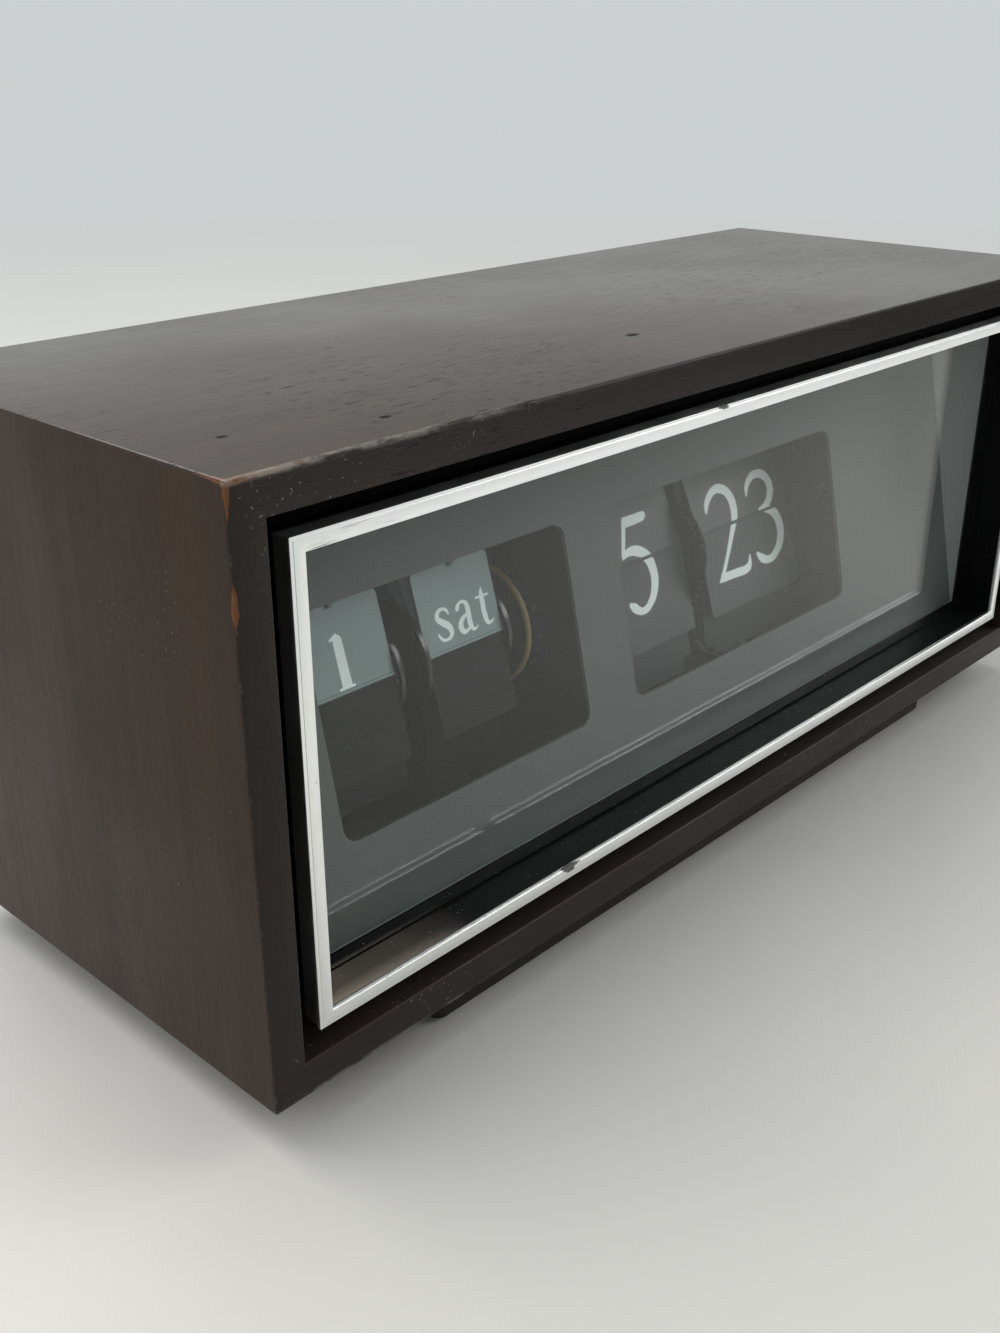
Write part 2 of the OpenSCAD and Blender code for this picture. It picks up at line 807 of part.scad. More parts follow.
module calendar_shaft() {
    color([0.78, 0.78, 0.78])
        rod(cal_left_x - 2, cal_c, shaft_r, cal_right_x - cal_left_x + plate_t + 4);
}
module time_shaft() {
    color([0.78, 0.78, 0.78])
        rod(time_left_x - 2, time_c, shaft_r, time_right_x - time_left_x + plate_t + 3);
}
module calendar_set_rod() {
    color([0.78, 0.78, 0.78])
        rod(cal_left_x - 2, cal_set_c, shaft_r, cal_right_x - cal_left_x + plate_t + 4);
}
// Headed stud riveted into the right plate
module time_set_stud() {
    color([0.78, 0.78, 0.78])
        turned(time_right_x + plate_t, time_set_c)
            polygon([[0, 0], [shaft_r, 0], [shaft_r, stud_head_x + 0.6],
                [2.6, stud_head_x + 0.6], [2.6, stud_head_x], [0, stud_head_x]]);
}
stud_head_x = minute_wheel_x - gap - 0.6 - time_right_x - plate_t;

clip_t = 0.6;
module shaft_clips() {
    color([0.50, 0.50, 0.50])
        for (p = [
            [cal_left_x - clip_t, cal_c], [cal_right_x + plate_t, cal_c],
            [cal_left_x - clip_t, cal_set_c], [cal_right_x + plate_t, cal_set_c],
            [time_left_x - clip_t, time_c], [time_right_x + plate_t, time_c]
        ])
            turned(p[0], p[1])
                translate([shaft_r + 0.02, 0])
                    square([1.7, clip_t]);
}

// ---- motor ----

motor_off = 1.8;    // between the right plate and the motor
motor_x = time_right_x + plate_t + motor_off;
motor_c = pinion_c + [4, 12.4];
motor_ear_dir = 40;
motor_ears = [for (s = [-1, 1])
    motor_c + s * (motor_r + 3) * [cos(motor_ear_dir), sin(motor_ear_dir)]];
module motor() {
    color([0.72, 0.72, 0.70])
        difference() {
            union() {
                turned(motor_x, motor_c)
                    polygon([[0, 0], [motor_r, 0], [motor_r, motor_l - 1.5],
                        [motor_r - 1.5, motor_l], [5, motor_l], [5, motor_l + 1.2], [0, motor_l + 1.2]]);
                slab(motor_x, 1.2)
                    ear_bar(motor_c, motor_r + 3, motor_ear_dir, 4);
            }
            rod(motor_x - 1, pinion_c, 1 + run_gap, 9);
            for (c = motor_ears)
                rod(motor_x - 1, c, screw_r + touch, 4);
        }
}
module ear_bar(c, reach, dir, r) {
    translate(c)
        rotate(dir)
            union() {
                square([2 * reach, 2 * r], center = true);
                for (s = [-1, 1])
                    translate([s * reach, 0])
                        circle(r);
            }
}
// The screws that hold the motor, each with its spacing washer
module motor_screws() {
    color([0.70, 0.70, 0.68])
        for (c = motor_ears) {
            translate([px(motor_x + 1.2), c[0], c[1]])
                rotate([0, -90, 0])
                    screw(motor_x + 1.2 - time_right_x + 1);
            turned(time_right_x + plate_t, c)
                translate([screw_r + 0.02, 0])
                    square([2, motor_x - time_right_x - plate_t]);
        }
}

module motor_pinion() {
    color([0.90, 0.88, 0.80])
        union() {
            slab(minute_wheel_x, gear_t)
                translate(pinion_c)
                    toothed(minute_m, pinion_z,
                        meshed(pinion_dir, 0, minute_z, pinion_z), 0.5);
            turned(minute_wheel_x, pinion_c)
                polygon([[0, 0], [1.6, 0], [1.6, gear_t + 3], [1, gear_t + 3],
                    [1, motor_x + 6 - minute_wheel_x], [0, motor_x + 6 - minute_wheel_x]]);
        }
}

// ---- hooks that hold the upright leaves ----

// Finger from a bar down into the notch of the leaf on show
module finger(x, bar, hinge, lean, reach) {
    tip = dial_at(hinge[0] + reach * sin(lean) - 0.1, hinge[1] + reach * cos(lean));
    slab(x, hook_w)
        polygon([bar + [-0.6, -0.6], bar + [0.6, -0.2], tip + [0.15, 0.35],
            tip + [0, 0], tip + [-0.35, 0]]);
}
date_notch_x = 9.7;
day_notch_x = 9.2;
module calendar_hooks() {
    color([0.72, 0.72, 0.70])
        union() {
            rod(cal_left_x, cal_bar_c, 1, cal_right_x - cal_left_x + plate_t);
            for (x = [date_leaf_x + date_notch_x, day_leaf_x + day_notch_x])
                finger(x + (notch_w - hook_w) / 2, cal_bar_c, cal_hinge, cal_lean,
                    cal_leaf_h - notch_d + gap);
        }
}
module time_hooks() {
    color([0.30, 0.30, 0.30])
        union() {
            rod(time_left_x, time_bar_c, 1, time_right_x - time_left_x + plate_t);
            for (x = [hour_leaf_x + time_leaf_w - corner_notch, minute_leaf_x])
                finger(x + (corner_notch - 1.6) / 2 + 0.2, time_bar_c, time_hinge, time_lean,
                    time_leaf_h - corner_notch + 2 * gap);
        }
}

// ---- leaves ----

hour_notch = [time_leaf_w - corner_notch, corner_notch, corner_notch];
minute_notch = [0, corner_notch, corner_notch];
date_notch = [date_notch_x, notch_w, notch_d];
day_notch = [day_notch_x, notch_w, notch_d];
leaf_grey = [0.30, 0.33, 0.33];

module hour_leaves() {
    color(leaf_grey)
        leaf_pack(hour_leaf_x, time_leaf_w, time_leaf_h, time_hinge, time_axis, time_hinge_r,
            time_rise, time_lean, hour_leaves_n, hour_notch[0], hour_notch[1], hour_notch[2]);
}
module minute_leaves() {
    color(leaf_grey)
        leaf_pack(minute_leaf_x, time_leaf_w, time_leaf_h, time_hinge, time_axis, time_hinge_r,
            time_rise, time_lean, minute_leaves_n,
            minute_notch[0], minute_notch[1], minute_notch[2]);
}
module date_leaves() {
    color(leaf_grey)
        leaf_pack(date_leaf_x, date_leaf_w, cal_leaf_h, cal_hinge, cal_axis, cal_hinge_r,
            cal_rise, cal_lean, date_leaves_n, date_notch[0], date_notch[1], date_notch[2]);
}
module day_leaves() {
    color(leaf_grey)
        leaf_pack(day_leaf_x, day_leaf_w, cal_leaf_h, cal_hinge, cal_axis, cal_hinge_r,
            cal_rise, cal_lean, day_leaves_n, day_notch[0], day_notch[1], day_notch[2]);
}
module hour_leaf() {
    color(leaf_grey)
        show_leaf(hour_leaf_x, time_hinge, time_lean, time_leaf_w, time_leaf_h,
            hour_notch[0], hour_notch[1], hour_notch[2]);
}
module minute_leaf() {
    color(leaf_grey)
        show_leaf(minute_leaf_x, time_hinge, time_lean, time_leaf_w, time_leaf_h,
            minute_notch[0], minute_notch[1], minute_notch[2]);
}
module date_leaf() {
    color(leaf_grey)
        show_leaf(date_leaf_x, cal_hinge, cal_lean, date_leaf_w, cal_leaf_h,
            date_notch[0], date_notch[1], date_notch[2]);
}
module day_leaf() {
    color(leaf_grey)
        show_leaf(day_leaf_x, cal_hinge, cal_lean, day_leaf_w, cal_leaf_h,
            day_notch[0], day_notch[1], day_notch[2]);
}

// ---- drums and wheels ----

// The first transfer pinion is cut on the minute drum's left end
module minute_spool() {
    color([0.06, 0.06, 0.06])
        union() {
            drum(minute_leaf_x, time_leaf_w, time_c, time_hinge_r, minute_leaves_n,
                minute_leaf_x - gap - flange_t, minute_wheel_x - minute_leaf_x + gap + flange_t);
            slab(first_x, thin_gear_t)
                translate(time_c)
                    toothed(first_m, first_z[0], transfer_dir, bore_r);
        }
}
module minute_wheel() {
    color([0.10, 0.10, 0.10])
        slab(minute_wheel_x, gear_t)
            translate(time_c)
                difference() {
                    toothed(minute_m, minute_z, 0, bore_r);
                    light_holes(5, 12.5, 3.5);
                }
}
// The right flange carries the teeth that the transfer gear drives
module hour_spool() {
    color([0.06, 0.06, 0.06])
        union() {
            slab(hour_leaf_x - gap - flange_t, flange_t)
                translate(time_c)
                    difference() {
                        circle(time_hinge_r + flange_r, $fn = 96);
                        circle(bore_r);
                        light_holes(hour_leaves_n, time_hinge_r, 0.45, $fn = 16);
                    }
            turned(hour_leaf_x - gap - flange_t, time_c)
                translate([bore_r, 0])
                    square([hub_r - bore_r, time_leaf_w + 2 * gap + flange_t]);
            slab(hour_wheel_x, thin_gear_t)
                translate(time_c)
                    difference() {
                        toothed(second_m, second_z[1],
                            transfer_dir + 180 / second_z[1], bore_r);
                        light_holes(hour_leaves_n, time_hinge_r, 0.45, $fn = 16);
                    }
        }
}
// Two gears on one hub: driven by the minute drum, driving the hour drum
module transfer_gear() {
    color([0.92, 0.90, 0.82])
        union() {
            slab(first_x, thin_gear_t)
                translate(transfer_c)
                    difference() {
                        toothed(first_m, first_z[1],
                            transfer_dir + 180 + 180 / first_z[1], 0.6);
                        light_holes(5, 10.5, 3.2);
                    }
            slab(hour_wheel_x, thin_gear_t)
                translate(transfer_c)
                    toothed(second_m, second_z[0], transfer_dir + 180, 0.6);
            turned(hour_wheel_x, transfer_c)
                translate([0.6, 0])
                    square([2 - 0.6 - touch, first_x + thin_gear_t - hour_wheel_x]);
        }
}

module date_spool() {
    color([0.06, 0.06, 0.06])
        drum(date_leaf_x, date_leaf_w, cal_c, cal_hinge_r, date_leaves_n,
            date_wheel_x + gear_t, date_leaf_x + date_leaf_w + gap + flange_t
            - date_wheel_x - gear_t);
}
module date_wheel() {
    color([0.92, 0.90, 0.82])
        slab(date_wheel_x, gear_t)
            translate(cal_c)
                difference() {
                    toothed(date_m, date_z, 0, bore_r);
                    light_holes(5, 8, 2);
                }
}
module day_spool() {
    color([0.06, 0.06, 0.06])
        drum(day_leaf_x, day_leaf_w, cal_c, cal_hinge_r, day_leaves_n,
            day_leaf_x - gap - flange_t, day_wheel_x - day_leaf_x + gap + flange_t);
}
module day_wheel() {
    color([0.10, 0.10, 0.10])
        slab(day_wheel_x, gear_t)
            translate(cal_c)
                difference() {
                    toothed(day_m, day_z, 0, bore_r);
                    light_holes(5, 8, 2);
                }
}
// Smooth amber disc on the day drum's hub, thin in its web with a rounded rim
disc_r = 13;
disc_web = 0.6;
disc_rim = 0.6;     // radius of the rim's rounding
module day_disc() {
    color([0.85, 0.58, 0.10])
        turned(day_wheel_x - gap - 2 * disc_rim, cal_c)
            union() {
                translate([hub_r + touch, disc_rim - disc_web / 2])
                    square([disc_r - disc_rim - hub_r - touch, disc_web]);
                translate([disc_r - disc_rim, disc_rim])
                    circle(disc_rim, $fn = 24);
                translate([hub_r + touch, 0])
                    square([1, 2 * disc_rim]);
            }
}

date_rim_x = date_wheel_x - rim_gap - wheel_t;
day_rim_x = day_wheel_x + gear_t + rim_gap;
time_rim_x = minute_wheel_x + gear_t + rim_gap;
module date_set_wheel() {
    color([0.10, 0.10, 0.10])
        set_wheel(date_wheel_x, date_rim_x, cal_set_c, date_m, date_set_z,
            180 + 180 / date_set_z, bore_r);
}
module day_set_wheel() {
    color([0.10, 0.10, 0.10])
        set_wheel(day_wheel_x, day_rim_x, cal_set_c, day_m, day_set_z,
            180 + 180 / day_set_z, bore_r);
}
module time_set_wheel() {
    color([0.10, 0.10, 0.10])
        set_wheel(minute_wheel_x, time_rim_x, time_set_c, minute_m, time_set_z,
            180 + 180 / time_set_z, bore_r);
}

case_top();
case_bottom();
case_left();
case_right();
corner_blocks();
plinth();
felt_pads();
bezel();
trim_frame();
lens();
dial_mask();
mask_screws();
back_panel();
back_screws();
cord_grommet();
chassis_base();
calendar_left_plate();
calendar_right_plate();
time_left_plate();
centre_plate();
time_right_plate();
chassis_screws();
calendar_spacers();
time_spacers();
calendar_shaft();
time_shaft();
shaft_clips();
calendar_set_rod();
time_set_stud();
motor();
motor_screws();
calendar_hooks();
time_hooks();
hour_leaves();
minute_leaves();
date_leaves();
day_leaves();
minute_spool();
minute_wheel();
hour_spool();
transfer_gear();
motor_pinion();
time_set_wheel();
date_spool();
date_wheel();
date_set_wheel();
day_spool();
day_wheel();
day_disc();
day_set_wheel();
minute_leaf();
hour_leaf();
date_leaf();
day_leaf();
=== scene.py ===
# %% [markdown]
# # A desk clock with a leaf display
#
# The clock is a low box of dark stained walnut. Behind its clear lens a charcoal dial
# leans back, and the hour, the minute, the date and the day are printed on leaves that
# fall one by one. The measured model of the clock is loaded first and stays as it is:
# it says where everything goes. The cells below add the camera, the finishes, the light,
# and the pieces whose look needs more shape than the measured model has.

# %% Load the measured model
import json
import math
from functools import reduce

import bpy
from mathutils import Matrix, Vector


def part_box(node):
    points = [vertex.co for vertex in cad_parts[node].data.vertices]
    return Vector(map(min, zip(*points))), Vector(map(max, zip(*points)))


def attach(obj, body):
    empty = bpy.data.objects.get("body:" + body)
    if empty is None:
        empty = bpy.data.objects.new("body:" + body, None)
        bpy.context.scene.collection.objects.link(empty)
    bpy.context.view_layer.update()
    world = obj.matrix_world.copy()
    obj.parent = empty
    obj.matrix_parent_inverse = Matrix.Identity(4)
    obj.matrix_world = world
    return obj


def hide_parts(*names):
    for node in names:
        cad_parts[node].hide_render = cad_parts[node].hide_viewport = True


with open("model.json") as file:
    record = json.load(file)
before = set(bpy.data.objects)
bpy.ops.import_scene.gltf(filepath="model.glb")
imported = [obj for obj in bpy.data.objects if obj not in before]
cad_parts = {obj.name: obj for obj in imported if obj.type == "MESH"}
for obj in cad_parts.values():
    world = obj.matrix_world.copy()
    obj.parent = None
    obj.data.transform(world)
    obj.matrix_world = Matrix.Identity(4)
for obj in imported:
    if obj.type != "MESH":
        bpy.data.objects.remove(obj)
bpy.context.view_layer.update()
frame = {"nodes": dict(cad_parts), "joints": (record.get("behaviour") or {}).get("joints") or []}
scene = bpy.context.scene
nodes = frame["nodes"]
MM = 0.001
print("pieces in the model:", len(nodes))

# %% [markdown]
# ## Where the main faces are
#
# The case, the other pieces and the hinges are read from the model. What the model
# doesn't state, such as the radius of a worn edge or where a dent lies, is written in
# millimetres. `at` turns millimetres from the case's lower front left corner into a place.

# %% Main faces
case_low, case_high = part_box("case_top")
case_low.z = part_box("case_bottom")[0].z
board = case_high.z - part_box("case_top")[0].z
middle = (case_low + case_high) / 2
hinges = {joint["child"]: Vector(joint["pos_m"]) for joint in frame["joints"]}


def at(x, y, z):
    return case_low + Vector((x, y, z)) * MM


print("case (mm):", [round(v / MM, 1) for v in case_high - case_low])

# %% [markdown]
# ## Camera
#
# The photograph looks down on the front left corner from close by. The focal length is
# given for a sensor as tall as the picture, so that an upright frame keeps its view.

# %% Camera
SENSOR = 36.0
PHOTO_HEIGHT_PX = 1333
FOCAL_PX = 1407.35
CAMERA_AT = Vector((-0.22707, -0.18930, 0.16060))
CAMERA_TILT = 65.76
CAMERA_TURN = -46.85
CLIP_START = 0.01

bpy.ops.object.select_all(action="DESELECT")
bpy.ops.object.camera_add(location=CAMERA_AT)
camera = bpy.context.object
camera.rotation_euler = (math.radians(CAMERA_TILT), 0, math.radians(CAMERA_TURN))
camera.data.sensor_fit = "AUTO"
camera.data.sensor_width = SENSOR
camera.data.lens = FOCAL_PX / PHOTO_HEIGHT_PX * SENSOR
camera.data.clip_start = CLIP_START
scene.camera = camera

# %% [markdown]
# ## Sockets that can be added and multiplied
#
# A finish is mostly arithmetic on patterns. `Value` wraps a socket, so that `1 - mask`
# or `grain * 0.3` adds the Math node that does it.

# %% Shader arithmetic
class Value:
    def __init__(self, finish, socket):
        self.finish, self.socket = finish, socket

    def math(self, operation, other=0.0, flipped=False, clamp=False):
        node = self.finish.tree.nodes.new("ShaderNodeMath")
        node.operation, node.use_clamp = operation, clamp
        first, second = (other, self) if flipped else (self, other)
        self.finish.feed(node.inputs[0], first)
        self.finish.feed(node.inputs[1], second)
        return Value(self.finish, node.outputs[0])

    def __add__(self, other): return self.math("ADD", other)
    def __sub__(self, other): return self.math("SUBTRACT", other)
    def __mul__(self, other): return self.math("MULTIPLY", other)
    def __rsub__(self, other): return self.math("SUBTRACT", other, True)
    __radd__ = __add__

    def clamped(self): return self.math("ADD", 0.0, clamp=True)
    def least(self, other): return self.math("MINIMUM", other)
    def most(self, other): return self.math("MAXIMUM", other)


# %% [markdown]
# ## One finish, one tree of nodes
#
# `Finish` holds one material. Its `node` method adds any node from its type, its
# settings and what its sockets get; the other methods are the few patterns that the
# finishes share. Colours are mixed by `blend`, because a Math node would turn them grey,
# and whole shaders by `mix`. A mask is 1 where something is and 0 where it isn't.

# %% Finish
class Finish:
    def __init__(self, name):
        self.material = bpy.data.materials.new(name)
        self.material.use_nodes = True
        self.tree = self.material.node_tree
        self.tree.nodes.clear()
        self.output = self.tree.nodes.new("ShaderNodeOutputMaterial")

    def feed(self, socket, what):
        if isinstance(what, Value):
            what = what.socket
        if isinstance(what, bpy.types.NodeSocket):
            self.tree.links.new(what, socket)
        elif isinstance(what, (tuple, list)) and socket.type == "RGBA":
            socket.default_value = (*what, 1)
        else:
            socket.default_value = what

    def node(self, kind, sockets=(), **settings):
        node = self.tree.nodes.new("ShaderNode" + kind)
        for key, setting in settings.items():
            setattr(node, key, setting)
        for key, what in dict(sockets).items():
            self.feed(node.inputs[key], what)
        return node

    def value(self, kind, sockets=(), out=0, **settings):
        return Value(self, self.node(kind, sockets, **settings).outputs[out])

    def shader(self, kind, sockets):
        return self.node(kind, sockets).outputs[0]

    def axes(self, of="Object"):
        apart = self.node("SeparateXYZ", {"Vector": self.node("TexCoord").outputs[of]})
        return [Value(self, socket) for socket in apart.outputs]

    def noise(self, scale, detail=3.0, roughness=0.5, stretch=(1, 1, 1), warp=0.0):
        """About scale waves in a metre; a stretch under 1 draws them out that way."""
        where = self.node("TexCoord").outputs["Object"]
        placed = self.node("Mapping", {"Vector": where, "Scale": stretch}).outputs[0]
        sockets = {"Vector": placed, "Scale": scale, "Detail": detail,
                   "Roughness": roughness, "Distortion": warp}
        return self.value("TexNoise", sockets)

    def ramp(self, value, low, high):
        """0 at low, 1 at high, straight between and held outside."""
        sockets = {"Value": value, "From Min": low, "From Max": high}
        return self.value("MapRange", sockets)

    def between(self, axis, start, end):
        """0 at start, 1 at end, in millimetres along x, y or z from the case's corner."""
        i = "xyz".index(axis)
        return self.ramp(self.axes()[i], at(start, start, start)[i], at(end, end, end)[i])

    def near(self, place, reach, squeeze=(1, 1, 1)):
        """1 at a place, 0 from reach onwards; a small squeeze makes a long mark."""
        where = self.node("TexCoord").outputs["Object"]
        off = self.node("VectorMath", {0: where, 1: tuple(place)}, operation="SUBTRACT")
        off = self.node("VectorMath", {0: off.outputs[0], 1: squeeze}, operation="MULTIPLY")
        away = self.value("VectorMath", {0: off.outputs[0]}, out="Value", operation="LENGTH")
        return self.ramp(away, reach, 0)

    def blend(self, mask, first, second):
        """The second colour where the mask is 1. A Mix node takes colours at 6 and 7."""
        sockets = {0: mask, 6: first, 7: second}
        return self.node("Mix", sockets, data_type="RGBA").outputs[2]

    def mix(self, mask, first, second):
        """The second shader where the mask is 1."""
        return self.shader("MixShader", {0: mask, 1: first, 2: second})

    def bump(self, height, depth, strength=1.0, over=None):
        """The normal of a surface whose height goes from 0 to depth metres, laid over
        another such normal where there is one."""
        sockets = {"Height": height, "Distance": depth, "Strength": strength}
        if over is not None:
            sockets["Normal"] = over
        return self.shader("Bump", sockets)

    def surface(self, shader):
        self.feed(self.output.inputs["Surface"], shader)
        return self.material

    def principled(self, sockets):
        return self.surface(self.shader("BsdfPrincipled", sockets))


# %% [markdown]
# ## Stained walnut
#
# The case is walnut veneer under a nearly black, half-gloss stain. Three things make it
# read as wood: broad bands of growth, short dark pores that run with the grain, and a
# sheen that the pores break up, so the pores also take the clear coat away. All three
# are noise that is stretched along the grain.
#
# Wear goes by where a point lies. The distance to the nearest outer edge is the middle
# one of the three depths below the box's faces: there the stain is rubbed through to
# orange brown round the front corner, and chipped pale along the front. Along the inner
# front edges the same pale colour is a painted highlight. Faces that look forward are
# painted darker, as painted shade. The inner faces are painted nearly black. Where the
# boards stand in their own shade, a dull dark shader takes over, because a dark stain
# with any shine still mirrors the pale room.

# %% Stained walnut
ESPRESSO = (0.0230, 0.0122, 0.0072)
UMBER = (0.0470, 0.0260, 0.0150)
PAINTED_FRONT_SHADE = (0.0130, 0.0100, 0.0082)
PORE = (0.0040, 0.0028, 0.0022)
INSIDE = (0.0100, 0.0045, 0.0026)
RUBBED = (0.150, 0.058, 0.022)
CHIPPED_AND_HIGHLIGHT = (0.36, 0.34, 0.30)
IN_SHADE = (0.004, 0.0026, 0.0020)
WORN_CORNER, CORNER_REACH = at(4, 0, 101.6), 12 * MM
WORN_EDGE, EDGE_REACH = at(0, 0, 85), 8 * MM
DENTS = [(at(108.4, 20.7, 101.6), 1.7 * MM), (at(35.7, 9.1, 101.6), 1.2 * MM),
         (at(12.7, 17.4, 101.6), 1.1 * MM)]
SWELL_DEPTH, GRAIN_DEPTH = 0.5 * MM, 0.08 * MM


def box_depths(f):
    """How deep a point lies below the case's nearest side, front or back, and top."""
    return [(place - low).least(high - place)
            for place, low, high in zip(f.axes(), case_low, case_high)]


def stained(name, along, gloss=0.36, coat=0.0, open_pores=0.35, worn=True):
    """along: 0, 1 or 2, the axis that the grain runs along."""
    f = Finish(name)

    def run(share):
        return tuple(share if axis == along else 1.0 for axis in range(3))

    growth = f.noise(62, 4, 0.6, run(0.05), 0.7)
    fine = f.noise(900, 3, 0.6, run(0.05))
    streaks = f.noise(2300, 2, 0.5, run(0.02))
    bared = f.between("x", 200, 60) * f.between("y", 80, 25)
    pores = f.ramp(f.noise(2600, 1.5, 0.45, run(0.08)) + bared * 0.02, 0.63, 0.72)
    pores = pores * f.ramp(f.noise(24, 2) + bared * 0.06, 0.44, 0.64) * open_pores
    patchy = f.ramp(f.noise(34, 3), 0.30, 0.72)
    dents = reduce(Value.most, [f.ramp(f.near(place, reach, (0.6, 1, 1)), 0.3, 0.6)
                                for place, reach in DENTS])
    colour = f.blend(f.ramp(growth, 0.32, 0.70), ESPRESSO, UMBER)
    colour = f.blend(f.ramp(streaks, 0.35, 0.75) * 0.5, colour, ESPRESSO)
    colour = f.blend((pores * 0.8).most(dents), colour, PORE)
    # Faces that look forward are blended darker: painted shade on the front.
    forward = f.ramp(f.axes("Normal")[1], -0.4, -0.75)
    colour = f.blend(forward * 0.75, colour, PAINTED_FRONT_SHADE)
    rough = gloss + fine * 0.16 - 0.08 + pores * 0.35 + patchy * 0.12 + dents * 0.4
    height = fine * 0.18 + streaks * 0.30 - pores * 1.2 - dents * 3
    sheen = (1 - pores.most(dents)) * (1 - forward) * coat

    if worn:
        a, b, c = box_depths(f)
        edge = a.least(b).most(a.most(b).least(c))
        skin = a.least(b).least(c)
        inner_edge = b.most((a.least(c) - board).math("ABSOLUTE"))
        spread = f.noise(160, 5, 0.65)
        corner = f.near(WORN_CORNER, CORNER_REACH, (0.7, 1, 1))
        corner = corner.most(f.near(WORN_EDGE, EDGE_REACH))
        close = f.ramp(edge, 1.3 * MM, 0.1 * MM)
        rubbed = f.ramp(close * 0.55 + spread * 0.9 + corner * 0.5, 1.16, 1.26)
        front_top = f.ramp(b.most(c), 1.0 * MM, 0.45 * MM)
        broken = f.noise(420, 4, 0.7, (0.35, 1, 1))
        chips_and_highlight = front_top * f.ramp(broken + f.between("x", 90, 4) * 0.24, 0.62, 0.76)
        chips_and_highlight = chips_and_highlight * f.between("x", 85, 30)
        # Pale chips on the outer edges, and a painted highlight line along the inner front edges.
        edge_chips_and_inner_highlight = f.ramp(edge.least(inner_edge), 0.5 * MM, 0.15 * MM)
        chips_and_highlight = chips_and_highlight.most(edge_chips_and_inner_highlight * f.ramp(broken, 0.58, 0.72) * 0.3)
        outside = f.ramp(skin, 0.3 * MM, 0.1 * MM).most(f.ramp(b, 0.5 * MM, 0.3 * MM))
        specks = f.ramp(f.noise(2000, 0, 0), 0.79, 0.82) * f.ramp(f.noise(45, 2), 0.45, 0.6)
        colour = f.blend(rubbed * 0.9, colour, RUBBED)
        colour = f.blend(1 - outside, colour, INSIDE)
        colour = f.blend((chips_and_highlight * 0.5).most(specks * 0.35), colour, CHIPPED_AND_HIGHLIGHT)
        rough = rough + rubbed * 0.2 + chips_and_highlight * 0.2 + (1 - outside) * 0.3
        height = height - rubbed * 0.8
        sheen = sheen * outside
    upper_half = f.ramp(f.axes()[2], middle.z, at(0, 0, 90).z)
    shaded = forward * f.between("x", 30, 170) * upper_half * 0.6
    if worn:
        shaded = shaded.most((1 - outside) * f.between("z", 11, 14) * 0.85)
    swell = f.bump(f.noise(24, 2, 0.4), SWELL_DEPTH, 0.45)
    wood = f.shader("BsdfPrincipled", {
        "Base Color": colour, "Roughness": rough.clamped(), "Specular IOR Level": 0.24,
        "Coat Weight": sheen.clamped(), "Coat Roughness": 0.2,
        "Normal": f.bump(height, GRAIN_DEPTH, 0.9, swell)})
    dark = f.shader("BsdfDiffuse", {"Color": IN_SHADE})
    return f.surface(f.mix(shaded.clamped(), wood, dark))


wood_top = stained("walnut_top", 0, 0.34, coat=0.54, open_pores=0.9)
wood_long = stained("walnut_along", 0, 0.42)
wood_up = stained("walnut_upright", 2, 0.42, open_pores=0.25)
wood_plinth = stained("walnut_plinth", 0, 0.5, worn=False)

# %% [markdown]
# ## Plain finishes
#
# `moulded` serves every plastic, and the rubber, the felt and the bare wood too. `metal`
# serves the plain metals. Both give a fine texture, a little unevenness in the sheen, and
# faint clouds in the colour, and `moulded` can add dust.

# %% Plain finishes
DUST = (0.42, 0.41, 0.39)


def moulded(name, colour, rough, texture, dust, scale=1500, shine=0.5):
    """texture: the depth of its grain in millimetres; scale: the grain's fineness."""
    f = Finish(name)
    cloud = f.noise(60, 4, 0.55)
    grit = f.noise(scale, 2, 0.6)
    motes = f.ramp(f.noise(2100, 0, 0), 0.79, 0.82) * dust
    tint = f.blend(f.ramp(cloud, 0.3, 0.7) * 0.35, colour, tuple(c * 0.72 for c in colour))
    tint = f.blend(motes, tint, DUST)
    sheen = rough + cloud * 0.12 - 0.06 + motes * 0.5
    return f.principled({"Base Color": tint, "Roughness": sheen.clamped(),
                         "Specular IOR Level": shine,
                         "Normal": f.bump(grit, texture * MM)})


def metal(name, colour, rough, brush):
    """brush: the stretch of its fine lines along each axis."""
    f = Finish(name)
    lines = f.noise(900, 4, 0.65, brush)
    stain = f.noise(45, 4, 0.6)
    tint = f.blend(f.ramp(stain, 0.35, 0.7) * 0.4, colour, tuple(c * 0.7 for c in colour))
    sheen = rough + lines * 0.12 - 0.06 + stain * 0.08
    return f.principled({"Base Color": tint, "Metallic": 1.0, "Roughness": sheen.clamped(),
                         "Normal": f.bump(lines, 0.01 * MM)})


back_plastic = moulded("back_plastic", (0.018, 0.0175, 0.0165), 0.52, 0.10, 0.10, 900)
wheel_plastic = moulded("wheel_plastic", (0.006, 0.006, 0.006), 0.6, 0.01, 0.0, shine=0.12)
ribbed_plastic = moulded("ribbed_plastic", (0.020, 0.020, 0.020), 0.38, 0.01, 0.10)
drum_plastic = moulded("drum_plastic", (0.008, 0.008, 0.0082), 0.18, 0.003, 0.0)
gear_plastic = moulded("gear_plastic", (0.74, 0.71, 0.62), 0.42, 0.005, 0.0)
rubber = moulded("rubber", (0.012, 0.012, 0.012), 0.62, 0.02, 0.12)
felt = moulded("felt", (0.02, 0.02, 0.02), 0.95, 0.35, 0.3, 2600)
zinc_sheet = metal("zinc_sheet", (0.52, 0.52, 0.49), 0.36, (1, 0.04, 1))
bright_steel = metal("bright_steel", (0.66, 0.66, 0.65), 0.22, (0.03, 1, 1))
black_steel = moulded("black_steel", (0.010, 0.010, 0.010), 0.5, 0.02, 0.0, shine=0.2)
brass = metal("brass", (0.72, 0.52, 0.22), 0.28, (1, 0.05, 0.05))
